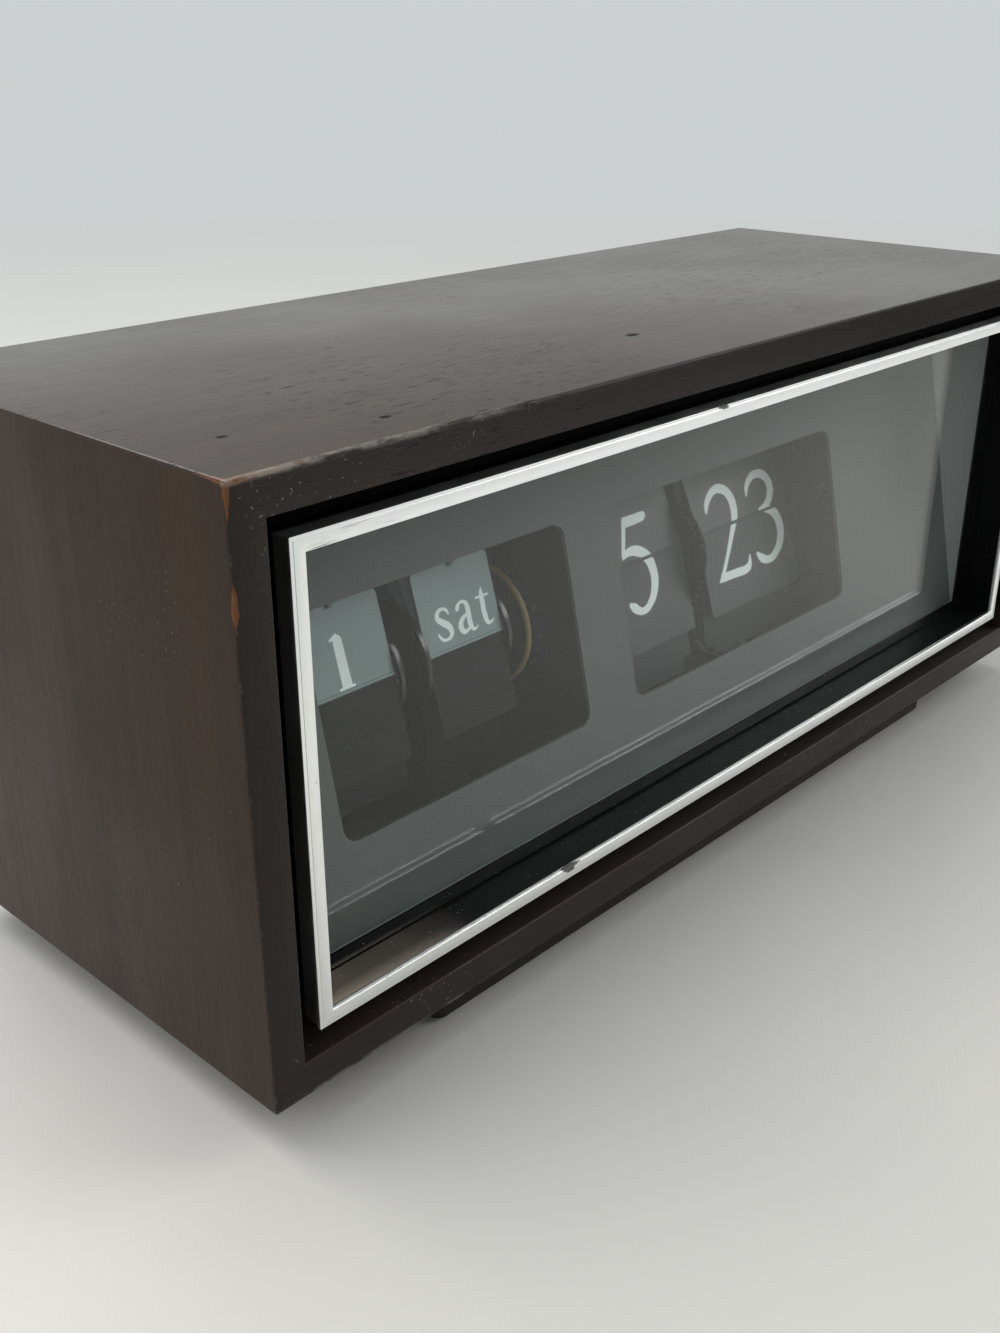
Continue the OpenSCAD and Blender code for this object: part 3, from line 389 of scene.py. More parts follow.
bare_wood = moulded("bare_wood", (0.40, 0.27, 0.15), 0.75, 0.08, 0.0, 500)

# %% [markdown]
# ## Bright trim
#
# The frame round the lens is thin bright metal, lightly brushed along its rails. It is
# old: it has hair scratches, dark pits, two nicks where the plating has lifted, and a
# few fine dark lines at its upper left corner. The nicks and the lines lie at the places
# that the photograph shows.

# %% Bright trim
PLATING, BLOOM, PIT = (0.98, 0.985, 0.97), (0.82, 0.82, 0.79), (0.05, 0.045, 0.04)
NICKS = [(at(70, 0.7, 12.9), 2.2 * MM), (at(110.4, 0.7, 91.3), 1.6 * MM)]
LINES_AT, LINES_REACH = at(21, 0.7, 89.1), 2.0 * MM


def bright_trim():
    f = Finish("bright_trim")
    hair = f.noise(1400, 3, 0.7, (0.03, 1, 0.03))
    pits = f.ramp(f.noise(900, 3, 0.7), 0.68, 0.73) * f.ramp(f.noise(70, 2), 0.48, 0.66)
    ragged = f.noise(900, 3, 0.7, (0.5, 1, 1))
    for place, reach in NICKS:
        pits = pits.most(f.ramp(f.near(place, reach, (0.5, 1, 1)) + ragged, 0.98, 1.1))
    lined = f.ramp(f.noise(6000, 1, 0.5, (0.02, 1, 1)), 0.58, 0.66) * 0.7
    pits = pits.most(lined * f.ramp(f.near(LINES_AT, LINES_REACH, (0.2, 1, 1)), 0.05, 0.3))
    bloom = f.ramp(f.noise(120, 4, 0.6), 0.4, 0.75)
    tint = f.blend(bloom * 0.2, PLATING, BLOOM)
    tint = f.blend(pits * 0.9, tint, PIT)
    rough = 0.24 + hair * 0.14 + pits * 0.4 + bloom * 0.12
    return f.principled({"Base Color": tint, "Metallic": 1 - pits * 0.6,
                         "Roughness": rough.clamped(),
                         "Normal": f.bump(hair - pits * 0.8, 0.02 * MM)})


trim_metal = bright_trim()

# %% [markdown]
# ## Bezel
#
# The bezel is black moulded plastic. Outside the tube nothing of it should show but
# blackness. On the tube's floor, in front of the lens, the left corner is brown with dust
# and with a painted pool of light, brightest towards the front, and a few motes lie along
# the rest. Behind the lens the tube is grey plastic like the dial that leans back in it,
# but painted lighter than the dial as painted light, and much lighter at its right end,
# where painted light stands in for the light falling on that end wall.

# %% Bezel
TUBE_BLACK, TUBE_GREY_AND_LIGHT, PAINTED_LIGHT_TUBE_END = (0.0028, 0.0028, 0.0030), (0.19, 0.20, 0.195), (0.70, 0.72, 0.70)
LEDGE_DUST_AND_LIGHT, PAINTED_LIGHT_ON_LEDGE = (0.20, 0.17, 0.135), (0.55, 0.48, 0.39)


def bezel_black():
    f = Finish("bezel_black")
    up = f.ramp(f.axes("Normal")[2], 0.5, 0.8)
    shelf = up * f.between("z", 15.5, 14) * f.between("y", 9.4, 8.4)
    cloud = f.noise(90, 4, 0.6)
    # The ledge's left corner: dust with a painted patch of light over it, a painted pool of light
    # nearest the front.
    dust_and_light_patch = shelf * f.ramp(f.axes()[0] + cloud * 0.02, at(56, 0, 0).x, at(20, 0, 0).x)
    painted_light_pool = dust_and_light_patch * f.between("y", 4.4, 1.6)
    motes = up * f.ramp(f.noise(1500, 0, 0), 0.79, 0.82) * 0.4
    colour = f.blend(dust_and_light_patch, TUBE_BLACK, LEDGE_DUST_AND_LIGHT)
    colour = f.blend(painted_light_pool * 0.8, colour, PAINTED_LIGHT_ON_LEDGE)
    colour = f.blend(motes, colour, DUST)
    inside = f.between("x", 10.5, 11.2) * f.between("x", 243.5, 242.8)
    # Behind the lens: grey plastic painted lighter than the dial as painted light, and the right
    # end wall painted much lighter still.
    behind = f.between("y", 11.6, 12.4) * inside
    colour = f.blend(behind, colour, TUBE_GREY_AND_LIGHT)
    colour = f.blend(behind * f.between("x", 236, 242), colour, PAINTED_LIGHT_TUBE_END)
    rough = 0.34 + cloud * 0.2 + dust_and_light_patch * 0.3 + motes * 0.3 + behind * 0.3
    return f.principled({"Base Color": colour, "Roughness": rough.clamped(),
                         "Specular IOR Level": 0.12,
                         "Normal": f.bump(f.noise(1500, 2, 0.6), 0.004 * MM)})


black_bezel = bezel_black()

# %% [markdown]
# ## Lens
#
# The lens is a sheet of clear acrylic. Light from the lamps has to reach the dial
# behind it, so shadow rays pass straight through, and all other rays see glass. A
# greasy film lies on it, thickest along the foot. Towards the right end the film is
# thickened further as painted light: a pale veil that stands in for the light falling
# on the lens there. The edges of the sheet sit in black plastic, so they are black.
# The index is lower than real acrylic's 1.49, because this room is brighter all round
# than a real one, and the lens mirrors all of it.

# %% Lens
LENS_IOR = 1.31
ACRYLIC, PASSED, FILM_AND_VEIL, RIM_BLACK = ((0.97, 0.985, 0.98), (0.92, 0.94, 0.935),
                                    (0.60, 0.64, 0.63), (0.003, 0.003, 0.003))


def clear_lens():
    f = Finish("clear_lens")
    glass = f.shader("BsdfPrincipled", {"Base Color": ACRYLIC, "Roughness": 0.035,
                                        "IOR": LENS_IOR, "Transmission Weight": 1.0})
    specks = f.ramp(f.noise(1300, 0, 0), 0.835, 0.85) * 0.3
    foot = f.between("z", 19.5, 15.5) * f.between("x", 30, 120)
    unevenness = f.noise(26, 3, 0.5, (1, 1, 0.5)) * 0.5 + 0.75
    # Thicker towards the right end: a painted veil of light; along the foot: grime.
    film_and_painted_veil = (f.between("x", 204, 238) * 0.08).most(foot * 0.07)
    film_and_painted_veil = (film_and_painted_veil * unevenness).most(specks) + 0.006
    filmed_and_veiled = f.mix(film_and_painted_veil, glass, f.shader("BsdfDiffuse", {"Color": FILM_AND_VEIL}))
    rim = f.ramp(f.axes("Normal")[1].math("ABSOLUTE"), 0.6, 0.4)
    edged = f.mix(rim, filmed_and_veiled, f.shader("BsdfDiffuse", {"Color": RIM_BLACK}))
    lamp_ray = f.node("LightPath").outputs["Is Shadow Ray"]
    return f.surface(f.mix(lamp_ray, edged, f.shader("BsdfTransparent", {"Color": PASSED})))


lens_clear = clear_lens()

# %% [markdown]
# ## Dial and leaves
#
# The dial is charcoal, dead matt. The leaves are thin printed plastic: the time leaves
# are nearly as dark as the dial, and the calendar leaves are a clear step lighter on
# the side with the print, which their own normal tells from the dark side.

# %% Dial and leaves
dial_grey = moulded("dial_grey", (0.073, 0.084, 0.080), 0.6, 0.001, 0.0, 900)
time_leaf = moulded("time_leaf", (0.050, 0.058, 0.056), 0.5, 0.001, 0.0)
print_white = moulded("print_white", (0.90, 0.97, 0.96), 0.5, 0.001, 0.0)


def two_sided(name, front, back, hinge=None, shine=0.5):
    """With a hinge, only what stands above it shows its front."""
    f = Finish(name)
    facing = f.ramp(f.axes("Normal")[1], 0.02, -0.02)
    if hinge:
        facing = facing * f.ramp(f.axes()[2], hinge.z, hinge.z + 0.1 * MM)
    cloud = f.ramp(f.noise(60, 4, 0.55), 0.3, 0.7) * 0.15
    tint = f.blend(facing, back, front)
    tint = f.blend(cloud, tint, back)
    return f.principled({"Base Color": tint, "Roughness": 0.40 + cloud * 0.3,
                         "Specular IOR Level": shine,
                         "Normal": f.bump(f.noise(1500, 2, 0.6), 0.002 * MM)})


PALE = (0.235, 0.300, 0.292)
LEAF_BACK, PACK_BACK = (0.012, 0.0135, 0.013), (0.007, 0.008, 0.0077)
date_leaf = two_sided("date_leaf", PALE, LEAF_BACK)
calendar_pack = two_sided("calendar_pack", PALE, PACK_BACK, hinges["date_flap"], 0.12)

# %% [markdown]
# ## Amber disc
#
# The disc beside the day drum is amber plastic. Light runs inside it and comes out at
# its rim, so only the rim looks amber, and the face stays dull.

# %% Amber disc
DISC_FACE, DISC_RIM, DISC_CLOUD = (0.022, 0.018, 0.010), (0.23, 0.165, 0.048), (0.05, 0.035, 0.012)


def amber():
    f = Finish("amber_plastic")
    low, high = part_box("day_disc")
    centre, radius = (low + high) / 2, (high.z - low.z) / 2
    rim = f.ramp(f.near(centre, radius, (0, 1, 1)), 0.12, 0.05)
    cloud = f.ramp(f.noise(150, 3), 0.3, 0.7)
    tint = f.blend(rim, DISC_FACE, DISC_RIM)
    tint = f.blend(cloud * 0.3, tint, DISC_CLOUD)
    return f.principled({"Base Color": tint, "Roughness": 0.3 + cloud * 0.08,
                         "Normal": f.bump(cloud, 0.01 * MM)})


amber_plastic = amber()

# %% [markdown]
# ## Finishes on the measured pieces
#
# Most of the pieces of the model have their right shape, and only get their finish.

# %% Give the finishes out
finish_of = {
    "case_top": wood_top, "case_bottom": wood_long, "case_left": wood_up,
    "case_right": wood_up, "plinth": wood_plinth, "corner_blocks": bare_wood,
    "felt_pads": felt, "bezel": black_bezel, "trim_frame": trim_metal,
    "lens": lens_clear, "dial_mask": dial_grey, "back_panel": back_plastic,
    "cord_grommet": rubber, "centre_plate": black_steel, "time_hooks": black_steel,
    "calendar_right_plate": black_steel, "time_right_plate": black_steel,
    "calendar_spacers": brass, "time_spacers": brass, "minute_wheel": wheel_plastic,
    "date_wheel": gear_plastic, "transfer_gear": gear_plastic,
    "motor_pinion": gear_plastic, "day_wheel": wheel_plastic, "day_disc": amber_plastic,
    "hour_spool": wheel_plastic, "minute_spool": wheel_plastic,
    "hour_leaf": time_leaf, "minute_leaf": time_leaf, "hour_leaves": time_leaf,
    "minute_leaves": time_leaf, "date_leaf": date_leaf, "day_leaf": date_leaf,
    "date_leaves": calendar_pack, "day_leaves": calendar_pack, "motor": zinc_sheet,
}
by_ending = {"_spool": drum_plastic, "_set_wheel": ribbed_plastic, "_plate": zinc_sheet,
             "_base": zinc_sheet}


def finish_for(name):
    if name in finish_of:
        return finish_of[name]
    for ending, finish in by_ending.items():
        if name.endswith(ending):
            return finish
    return bright_steel


for name, piece in nodes.items():
    piece.data.materials.clear()
    piece.data.materials.append(finish_for(name))

# %% [markdown]
# ## Modelling helpers
#
# New pieces are modelled as by hand: a block at its size and place, then faces or edges
# picked by where they are, and an operator on what is picked. `model` is what the
# finished piece needs: its finish, the body that it moves with, and the measured pieces
# that it stands for. Its slot in the record's list of materials, if it has one, is
# taken but not used.

# %% Modelling helpers
CLOSE = 0.01 * MM


def only(piece):
    bpy.ops.object.select_all(action="DESELECT")
    piece.select_set(True)
    bpy.context.view_layer.objects.active = piece


def copy_of(piece):
    only(piece)
    bpy.ops.object.duplicate()
    return bpy.context.object


def settle():
    """Moves the place, turn and size of the active piece into its mesh."""
    bpy.ops.object.transform_apply(location=True, rotation=True, scale=True)


def block(name, low, high):
    low, high = Vector(low), Vector(high)
    bpy.ops.object.select_all(action="DESELECT")
    bpy.ops.mesh.primitive_cube_add(size=1, location=(low + high) / 2, scale=high - low)
    piece = bpy.context.object
    piece.name = name
    settle()
    return piece


def pick(piece, what, test):
    """Edit mode, with the faces or edges selected whose middle passes the test."""
    only(piece)
    bpy.ops.object.mode_set(mode="EDIT")
    bpy.ops.mesh.select_mode(type=what)
    bpy.ops.mesh.select_all(action="DESELECT")
    bpy.ops.object.mode_set(mode="OBJECT")
    mesh = piece.data
    if what == "FACE":
        for face in mesh.polygons:
            face.select = test(face.center, face.normal)
    else:
        for edge in mesh.edges:
            one, two = (mesh.vertices[i].co for i in edge.vertices)
            edge.select = test((one + two) / 2, (two - one).normalized())
    bpy.ops.object.mode_set(mode="EDIT")


def push(*way):
    """Extrudes what is picked."""
    bpy.ops.mesh.extrude_region_move(TRANSFORM_OT_translate={"value": way})


def done():
    bpy.ops.object.mode_set(mode="OBJECT")


def modify(piece, kind, **settings):
    only(piece)
    modifier = piece.modifiers.new(kind.lower(), kind)
    for key, setting in settings.items():
        setattr(modifier, key, setting)
    bpy.ops.object.modifier_apply(modifier=modifier.name)


def model(piece, finish, body, slot, *stands_for, smooth=35):
    only(piece)
    bpy.ops.object.shade_smooth_by_angle(angle=math.radians(smooth))
    piece.data.materials.clear()
    piece.data.materials.append(finish)
    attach(piece, body)
    if stands_for:
        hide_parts(*stands_for)


# %% [markdown]
# ## Case
#
# The case is four mitred boards. They are modelled as one hollow box, so that the worn
# roundings of the edges run on from board to board. The box is then copied four times,
# and each copy is cut along the mitres, with a hair's width left open between boards.

# %% Case
OUTER_ROUND = 0.55 * MM
INNER_ROUND = 0.3 * MM
SEAM = 0.012 * MM


def on_rim(point, low, high):
    """True where a point lies on two outer faces of a box at once."""
    hits = [min(abs(place - one), abs(place - other)) < CLOSE
            for place, one, other in zip(point, low, high)]
    return sum(hits) >= 2


def hollow_box():
    box = block("case_blank", case_low, case_high)
    pick(box, "FACE", lambda spot, normal: abs(normal.y) > 0.9)
    bpy.ops.mesh.inset(thickness=board, use_individual=True)
    bpy.ops.mesh.bridge_edge_loops()
    done()
    pick(box, "EDGE", lambda spot, way: on_rim(spot, case_low, case_high))
    bpy.ops.mesh.bevel(offset=OUTER_ROUND, segments=3, affect="EDGES")
    done()
    inset = Vector((board, 0, board))
    pick(box, "EDGE", lambda spot, way: abs(way.y) < 0.5
         and on_rim(spot, case_low + inset, case_high - inset))
    bpy.ops.mesh.bevel(offset=INNER_ROUND, segments=2, affect="EDGES")
    done()
    return box


def mitred(box, name, side, finish):
    """side: (x, z), the way from the case's middle to this board."""
    piece = copy_of(box)
    piece.name = name + "_board"
    bpy.ops.object.mode_set(mode="EDIT")
    for end in (-1, 1):
        corner_x, corner_z = side[0] or end, side[1] or end
        corner = Vector((case_low.x if corner_x < 0 else case_high.x, 0,
                         case_low.z if corner_z < 0 else case_high.z))
        across = Vector((corner_x, 0, -corner_z) if side[0] else (-corner_x, 0, corner_z))
        across.normalize()
        bpy.ops.mesh.select_all(action="SELECT")
        bpy.ops.mesh.bisect(plane_co=corner + across * SEAM, plane_no=across,
                            use_fill=True, clear_inner=True)
    bpy.ops.mesh.select_all(action="SELECT")
    bpy.ops.mesh.bisect(plane_co=middle, plane_no=(side[0], 0, side[1]),
                        use_fill=True, clear_inner=True)
    done()
    slot = "walnut_top" if name == "case_top" else "walnut"
    model(piece, finish, "case", slot, name)
    print(name, "faces:", len(piece.data.polygons))


box = hollow_box()
mitred(box, "case_top", (0, 1), wood_top)
mitred(box, "case_bottom", (0, -1), wood_long)
mitred(box, "case_left", (-1, 0), wood_up)
mitred(box, "case_right", (1, 0), wood_up)
bpy.data.objects.remove(box)

# %% [markdown]
# ## Plinth
#
# The plinth is a block of the same wood, set back under the case. Its upright corners
# are rounded and its other edges are only broken.

# %% Plinth
CORNER_ROUND, EDGE_ROUND = 2 * MM, 0.35 * MM

low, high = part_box("plinth")
plinth = block("plinth_block", low, high)
pick(plinth, "EDGE", lambda spot, way: abs(way.z) > 0.9)
bpy.ops.mesh.bevel(offset=CORNER_ROUND, segments=6, affect="EDGES")
done()
modify(plinth, "BEVEL", width=EDGE_ROUND, segments=2, limit_method="ANGLE",
       angle_limit=math.radians(60))
model(plinth, wood_plinth, "case", "plinth_wood", "plinth")

# %% [markdown]
# ## Trim
#
# The trim is one rolled frame: a narrow bright step round a raised flat, and a lip that
# turns back over the tube behind it. A block is inset and extruded on its front and on
# its back, and the two middles are bridged, which opens the frame.

# %% Trim
LAND_IN, LAND_UP = 0.55 * MM, 0.2 * MM
RAIL = 2.6 * MM
FACE = 0.8 * MM
LIP_IN, LIP_WALL = 0.3 * MM, 1.05 * MM
TRIM_ROUND = 0.11 * MM

low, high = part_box("trim_frame")
front = low.y + LAND_UP
lip = high.y - low.y - LAND_UP - FACE
trim = block("trim_rails", (low.x, front, low.z), (high.x, front + FACE, high.z))


def centred(spot, normal):
    off = spot - middle
    return abs(normal.y) > 0.9 and abs(off.x) < CLOSE and abs(off.z) < CLOSE


pick(trim, "FACE", lambda spot, normal: normal.y < -0.9)
bpy.ops.mesh.inset(thickness=LAND_IN)
push(0, -LAND_UP, 0)
bpy.ops.mesh.inset(thickness=RAIL - LAND_IN)
done()
pick(trim, "FACE", lambda spot, normal: normal.y > 0.9)
bpy.ops.mesh.inset(thickness=LIP_IN)
push(0, lip, 0)
bpy.ops.mesh.inset(thickness=LIP_WALL)
push(0, -lip, 0)
bpy.ops.mesh.inset(thickness=RAIL - LIP_IN - LIP_WALL)
done()
pick(trim, "FACE", centred)
bpy.ops.mesh.bridge_edge_loops()
done()
modify(trim, "BEVEL", width=TRIM_ROUND, segments=2, limit_method="ANGLE",
       angle_limit=math.radians(40))
model(trim, trim_metal, "case", "bright_trim", "trim_frame")

# %% [markdown]
# ## Screws in the back
#
# The four screws that hold the back panel have pan heads with a cross recess. One is
# modelled: a disc with a rounded rim, a shank pushed out of its underside, and two
# crossed blades taken away. It is copied to the four corners, each turned by its own angle,
# as a driver would leave them.

# %% Back screws
HEAD_R, HEAD_H, SHANK_R, HEAD_ROUND = 2.6 * MM, 1.5 * MM, 1.4 * MM, 0.65 * MM
BLADE_REACH, BLADE_DEEP, BLADE_HALF = 1.6 * MM, 0.8 * MM, 0.28 * MM
TURNED = 31
low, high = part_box("back_screws")

bpy.ops.object.select_all(action="DESELECT")
bpy.ops.mesh.primitive_cylinder_add(vertices=40, radius=HEAD_R, depth=HEAD_H,
                                    location=(0, high.y - HEAD_H / 2, 0),
                                    rotation=(math.radians(90), 0, 0))
first = bpy.context.object
settle()
pick(first, "EDGE", lambda spot, way: spot.y > high.y - CLOSE)
bpy.ops.mesh.bevel(offset=HEAD_ROUND, segments=4, affect="EDGES")
done()
pick(first, "FACE", lambda spot, normal: normal.y < -0.9)
bpy.ops.mesh.inset(thickness=HEAD_R - SHANK_R)
push(0, low.y - high.y + HEAD_H, 0)
done()
for turn in (45, 135):
    blade = block("blade", (-BLADE_REACH, high.y - BLADE_DEEP, -BLADE_HALF),
                  (BLADE_REACH, high.y + MM, BLADE_HALF))
    blade.rotation_euler.y = math.radians(turn)
    settle()
    modify(first, "BOOLEAN", operation="DIFFERENCE", object=blade, solver="EXACT")
    bpy.data.objects.remove(blade)

for x in (low.x + HEAD_R, high.x - HEAD_R):
    for z in (low.z + HEAD_R, high.z - HEAD_R):
        screw = copy_of(first)
        upper, right = z > middle.z, x > middle.x
        screw.name = f"back_screw_{'upper' if upper else 'lower'}_{'right' if right else 'left'}"
        screw.rotation_euler.y = math.radians(TURNED * (2 * upper + right))
        screw.location = (x, 0, z)
        settle()
        model(screw, bright_steel, "case", "ground_steel", "back_screws")
bpy.data.objects.remove(first)

# %% [markdown]
# ## Signs on the leaves
#
# The signs are drawn as a pen would draw them. Each sign is a few strokes, and each
# point of a stroke says how far across and up it lies and how wide the pen is there, in
# shares of the sign's height. A round bevel on the curve follows those widths, and the
# tube it makes is pressed flat, which leaves a thin film of ink with soft edges.

# %% Strokes
SIGNS = {
    "1": [[(0.0, 0.90, 0.01), (0.10, 0.93, 0.04), (0.20, 0.95, 0.06)],
          [(0.18, 0.97, 0.05), (0.18, 0.90, 0.10), (0.18, 0.03, 0.112)],
          [(0.0, 0.022, 0.022), (0.36, 0.022, 0.022)]],
    "2": [[(0.0, 0.745, 0.012), (0.03, 0.81, 0.032), (0.104, 0.885, 0.036),
           (0.235, 0.945, 0.042), (0.36, 0.93, 0.053), (0.446, 0.85, 0.060),
           (0.465, 0.735, 0.060), (0.42, 0.60, 0.048), (0.32, 0.43, 0.034),
           (0.20, 0.25, 0.027), (0.09, 0.10, 0.027), (0.05, 0.05, 0.03)],
          [(0.0, 0.025, 0.015), (0.10, 0.048, 0.044), (0.30, 0.046, 0.046),
           (0.50, 0.046, 0.044), (0.545, 0.07, 0.04), (0.585, 0.175, 0.008)]],
    "3": [[(0.03, 0.765, 0.01), (0.07, 0.845, 0.030), (0.17, 0.925, 0.036),
           (0.30, 0.955, 0.043), (0.43, 0.91, 0.055), (0.48, 0.81, 0.060),
           (0.43, 0.69, 0.048), (0.31, 0.61, 0.034), (0.17, 0.585, 0.014)],
          [(0.175, 0.582, 0.014), (0.30, 0.566, 0.038), (0.44, 0.495, 0.057),
           (0.505, 0.355, 0.064), (0.475, 0.20, 0.060), (0.36, 0.085, 0.046),
           (0.22, 0.040, 0.040), (0.09, 0.085, 0.050), (0.015, 0.16, 0.018)]],
    "4": [[(0.40, 0.95, 0.022), (0.22, 0.63, 0.020), (0.03, 0.30, 0.020)],
          [(0.0, 0.285, 0.036), (0.56, 0.285, 0.036)],
          [(0.40, 0.97, 0.056), (0.40, 0.02, 0.056)]],
    "5": [[(0.20, 0.945, 0.052), (0.35, 0.945, 0.052), (0.50, 0.953, 0.047),
           (0.55, 0.97, 0.02)],
          [(0.215, 0.97, 0.028), (0.13, 0.79, 0.026), (0.045, 0.62, 0.022)],
          [(0.03, 0.61, 0.008), (0.12, 0.652, 0.036), (0.26, 0.645, 0.056),
           (0.385, 0.56, 0.062), (0.45, 0.41, 0.060), (0.43, 0.24, 0.055),
           (0.33, 0.105, 0.042), (0.19, 0.050, 0.036), (0.07, 0.115, 0.050),
           (0.01, 0.165, 0.02)]],
    "6": [[(0.52, 0.975, 0.012), (0.38, 0.89, 0.030), (0.21, 0.71, 0.052),
           (0.10, 0.49, 0.062), (0.085, 0.27, 0.060), (0.15, 0.10, 0.050),
           (0.29, 0.042, 0.040), (0.43, 0.10, 0.055), (0.50, 0.27, 0.062),
           (0.45, 0.45, 0.052), (0.31, 0.545, 0.036), (0.17, 0.49, 0.028),
           (0.11, 0.39, 0.02)]],
    "s": [[(0.57, 0.73, 0.02), (0.52, 0.86, 0.05), (0.36, 0.95, 0.045), (0.17, 0.89, 0.065),
           (0.11, 0.74, 0.085), (0.24, 0.59, 0.10), (0.42, 0.46, 0.11), (0.54, 0.30, 0.10),
           (0.53, 0.14, 0.075), (0.36, 0.045, 0.045), (0.17, 0.08, 0.05), (0.07, 0.20, 0.045),
           (0.03, 0.30, 0.015)]],
    "a": [[(0.07, 0.73, 0.05), (0.11, 0.83, 0.075), (0.22, 0.93, 0.045), (0.36, 0.94, 0.05),
           (0.47, 0.85, 0.08), (0.50, 0.68, 0.095), (0.50, 0.18, 0.095), (0.57, 0.06, 0.055),
           (0.68, 0.05, 0.035), (0.79, 0.12, 0.012)],
          [(0.50, 0.59, 0.03), (0.34, 0.52, 0.05), (0.17, 0.41, 0.085), (0.10, 0.25, 0.10),
           (0.18, 0.09, 0.085), (0.33, 0.08, 0.05), (0.49, 0.21, 0.03)]],
    "t": [[(0.31, 1.17, 0.01), (0.27, 1.02, 0.065), (0.26, 0.86, 0.095), (0.26, 0.26, 0.095),
           (0.31, 0.10, 0.075), (0.43, 0.055, 0.045), (0.59, 0.15, 0.012)],
          [(0.0, 0.90, 0.035), (0.54, 0.90, 0.035)]],
    "u": [[(0.16, 0.93, 0.09), (0.16, 0.30, 0.09), (0.22, 0.11, 0.08), (0.37, 0.045, 0.05),
           (0.52, 0.11, 0.04), (0.64, 0.23, 0.03)],
          [(0.66, 0.93, 0.09), (0.66, 0.05, 0.09)],
          [(0.0, 0.945, 0.03), (0.24, 0.945, 0.03)],
          [(0.50, 0.945, 0.03), (0.74, 0.945, 0.03)],
          [(0.60, 0.03, 0.03), (0.86, 0.03, 0.03)]],
    "n": [[(0.16, 0.93, 0.09), (0.16, 0.05, 0.09)],
          [(0.20, 0.74, 0.03), (0.36, 0.91, 0.05), (0.54, 0.92, 0.075), (0.64, 0.78, 0.09),
           (0.65, 0.50, 0.09), (0.65, 0.05, 0.09)],
          [(0.0, 0.945, 0.03), (0.20, 0.945, 0.03)],
          [(0.0, 0.03, 0.03), (0.34, 0.03, 0.03)],
          [(0.49, 0.03, 0.03), (0.82, 0.03, 0.03)]],
}

# %% [markdown]
# ## The plane of a print
#
# A print lies on a leaf that leans, so the leaf's face is measured: two rays that run
# into it give a line up the leaf, and the line gives a frame with its zero at the hinge.
# What shows on a clock like this is always two half signs: the upper half stands on the
# upright leaf, and the lower half hangs on the leaf that fell before it.

# %% Printed planes
bpy.context.view_layer.update()
NEAR, FAR, ASIDE = 4 * MM, 12 * MM, 3 * MM
ALONG = Vector((1, 0, 0))


def struck(piece, x, z, from_behind):
    """Where a level ray from in front or behind meets a leaf."""
    start = Vector((x, case_high.y if from_behind else case_low.y, z))
    hit, place, *rest = piece.ray_cast(start, Vector((0, -1 if from_behind else 1, 0)))
    assert hit, "no leaf at this height"
    return place


def printed_plane(node, body, above, from_behind=False):
    """The frame of a print: X along the leaf, Y up the print, Z out of the paper."""
    hinge = hinges[body]
    x = (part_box(node)[0].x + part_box(node)[1].x) / 2 + ASIDE
    side = 1 if above else -1
    near = struck(nodes[node], x, hinge.z + side * NEAR, from_behind)
    far = struck(nodes[node], x, hinge.z + side * FAR, from_behind)
    up = (far - near).normalized() * (1 if above != from_behind else -1)
    out = ALONG.cross(up)
    foot = near + up * up.dot(hinge - near)
    foot.x = case_low.x
    return Matrix((ALONG, up, out)).transposed().to_4x4(), foot


# %% [markdown]
# ## The pen
#
# `written` draws the signs on the ground plane, presses the tubes flat, cuts them where
# the leaf ends, and then lays them on their leaf. The film is `INK` times as thick as the
# pen is wide. It has to be thin, because a fallen leaf lies close to the next ones.

# %% Pen
INK = 0.018
PEN_STEPS = 5
CUT_REACH = 0.3


def written(name, body, plane, signs, span=None):
    """signs: (sign, left edge, foot, height, weight); span: the lowest and the highest
    that the leaf shows of them, where it cuts them. All are in millimetres."""
    turned, foot = plane
    bpy.ops.object.select_all(action="DESELECT")
    bpy.ops.curve.primitive_bezier_curve_add()
    piece = bpy.context.object
    pen = piece.data
    pen.splines.clear()
    pen.dimensions, pen.resolution_u = "3D", PEN_STEPS
    pen.bevel_depth, pen.bevel_resolution, pen.use_fill_caps = MM, 2, True
    for sign, left, base, tall, weight in signs:
        for stroke in SIGNS[sign]:
            line = pen.splines.new("BEZIER")
            line.bezier_points.add(len(stroke) - 1)
            for point, (across, up, half) in zip(line.bezier_points, stroke):
                point.co = Vector((left + across * tall, base + up * tall, 0)) * MM
                point.handle_left_type = point.handle_right_type = "AUTO"
                point.radius = half * tall * weight
    bpy.ops.object.convert(target="MESH")
    piece = bpy.context.object
    piece.name = name
    piece.scale.z = INK
    settle()
    if span:
        window = block("window", (0, span[0] * MM, -MM), (CUT_REACH, span[1] * MM, MM))
        modify(piece, "BOOLEAN", operation="INTERSECT", object=window, solver="EXACT",
               use_self=True)
        bpy.data.objects.remove(window)
    piece.matrix_world = Matrix.Translation(foot) @ turned
    only(piece)
    settle()
    model(piece, print_white, body, None, smooth=60)
    print(name, "faces:", len(piece.data.polygons))


# %% [markdown]
# ## Time and calendar
#
# It is 5:23 on Saturday the 1st. Behind each upright leaf waits the next one, and on the
# back of each upright leaf is the lower half of the next sign, so that the display still
# reads when a leaf has fallen. The waiting leaf hangs one step further round the drum, so
# its foot is a little higher than the hinge of the one on show, and so is its print.

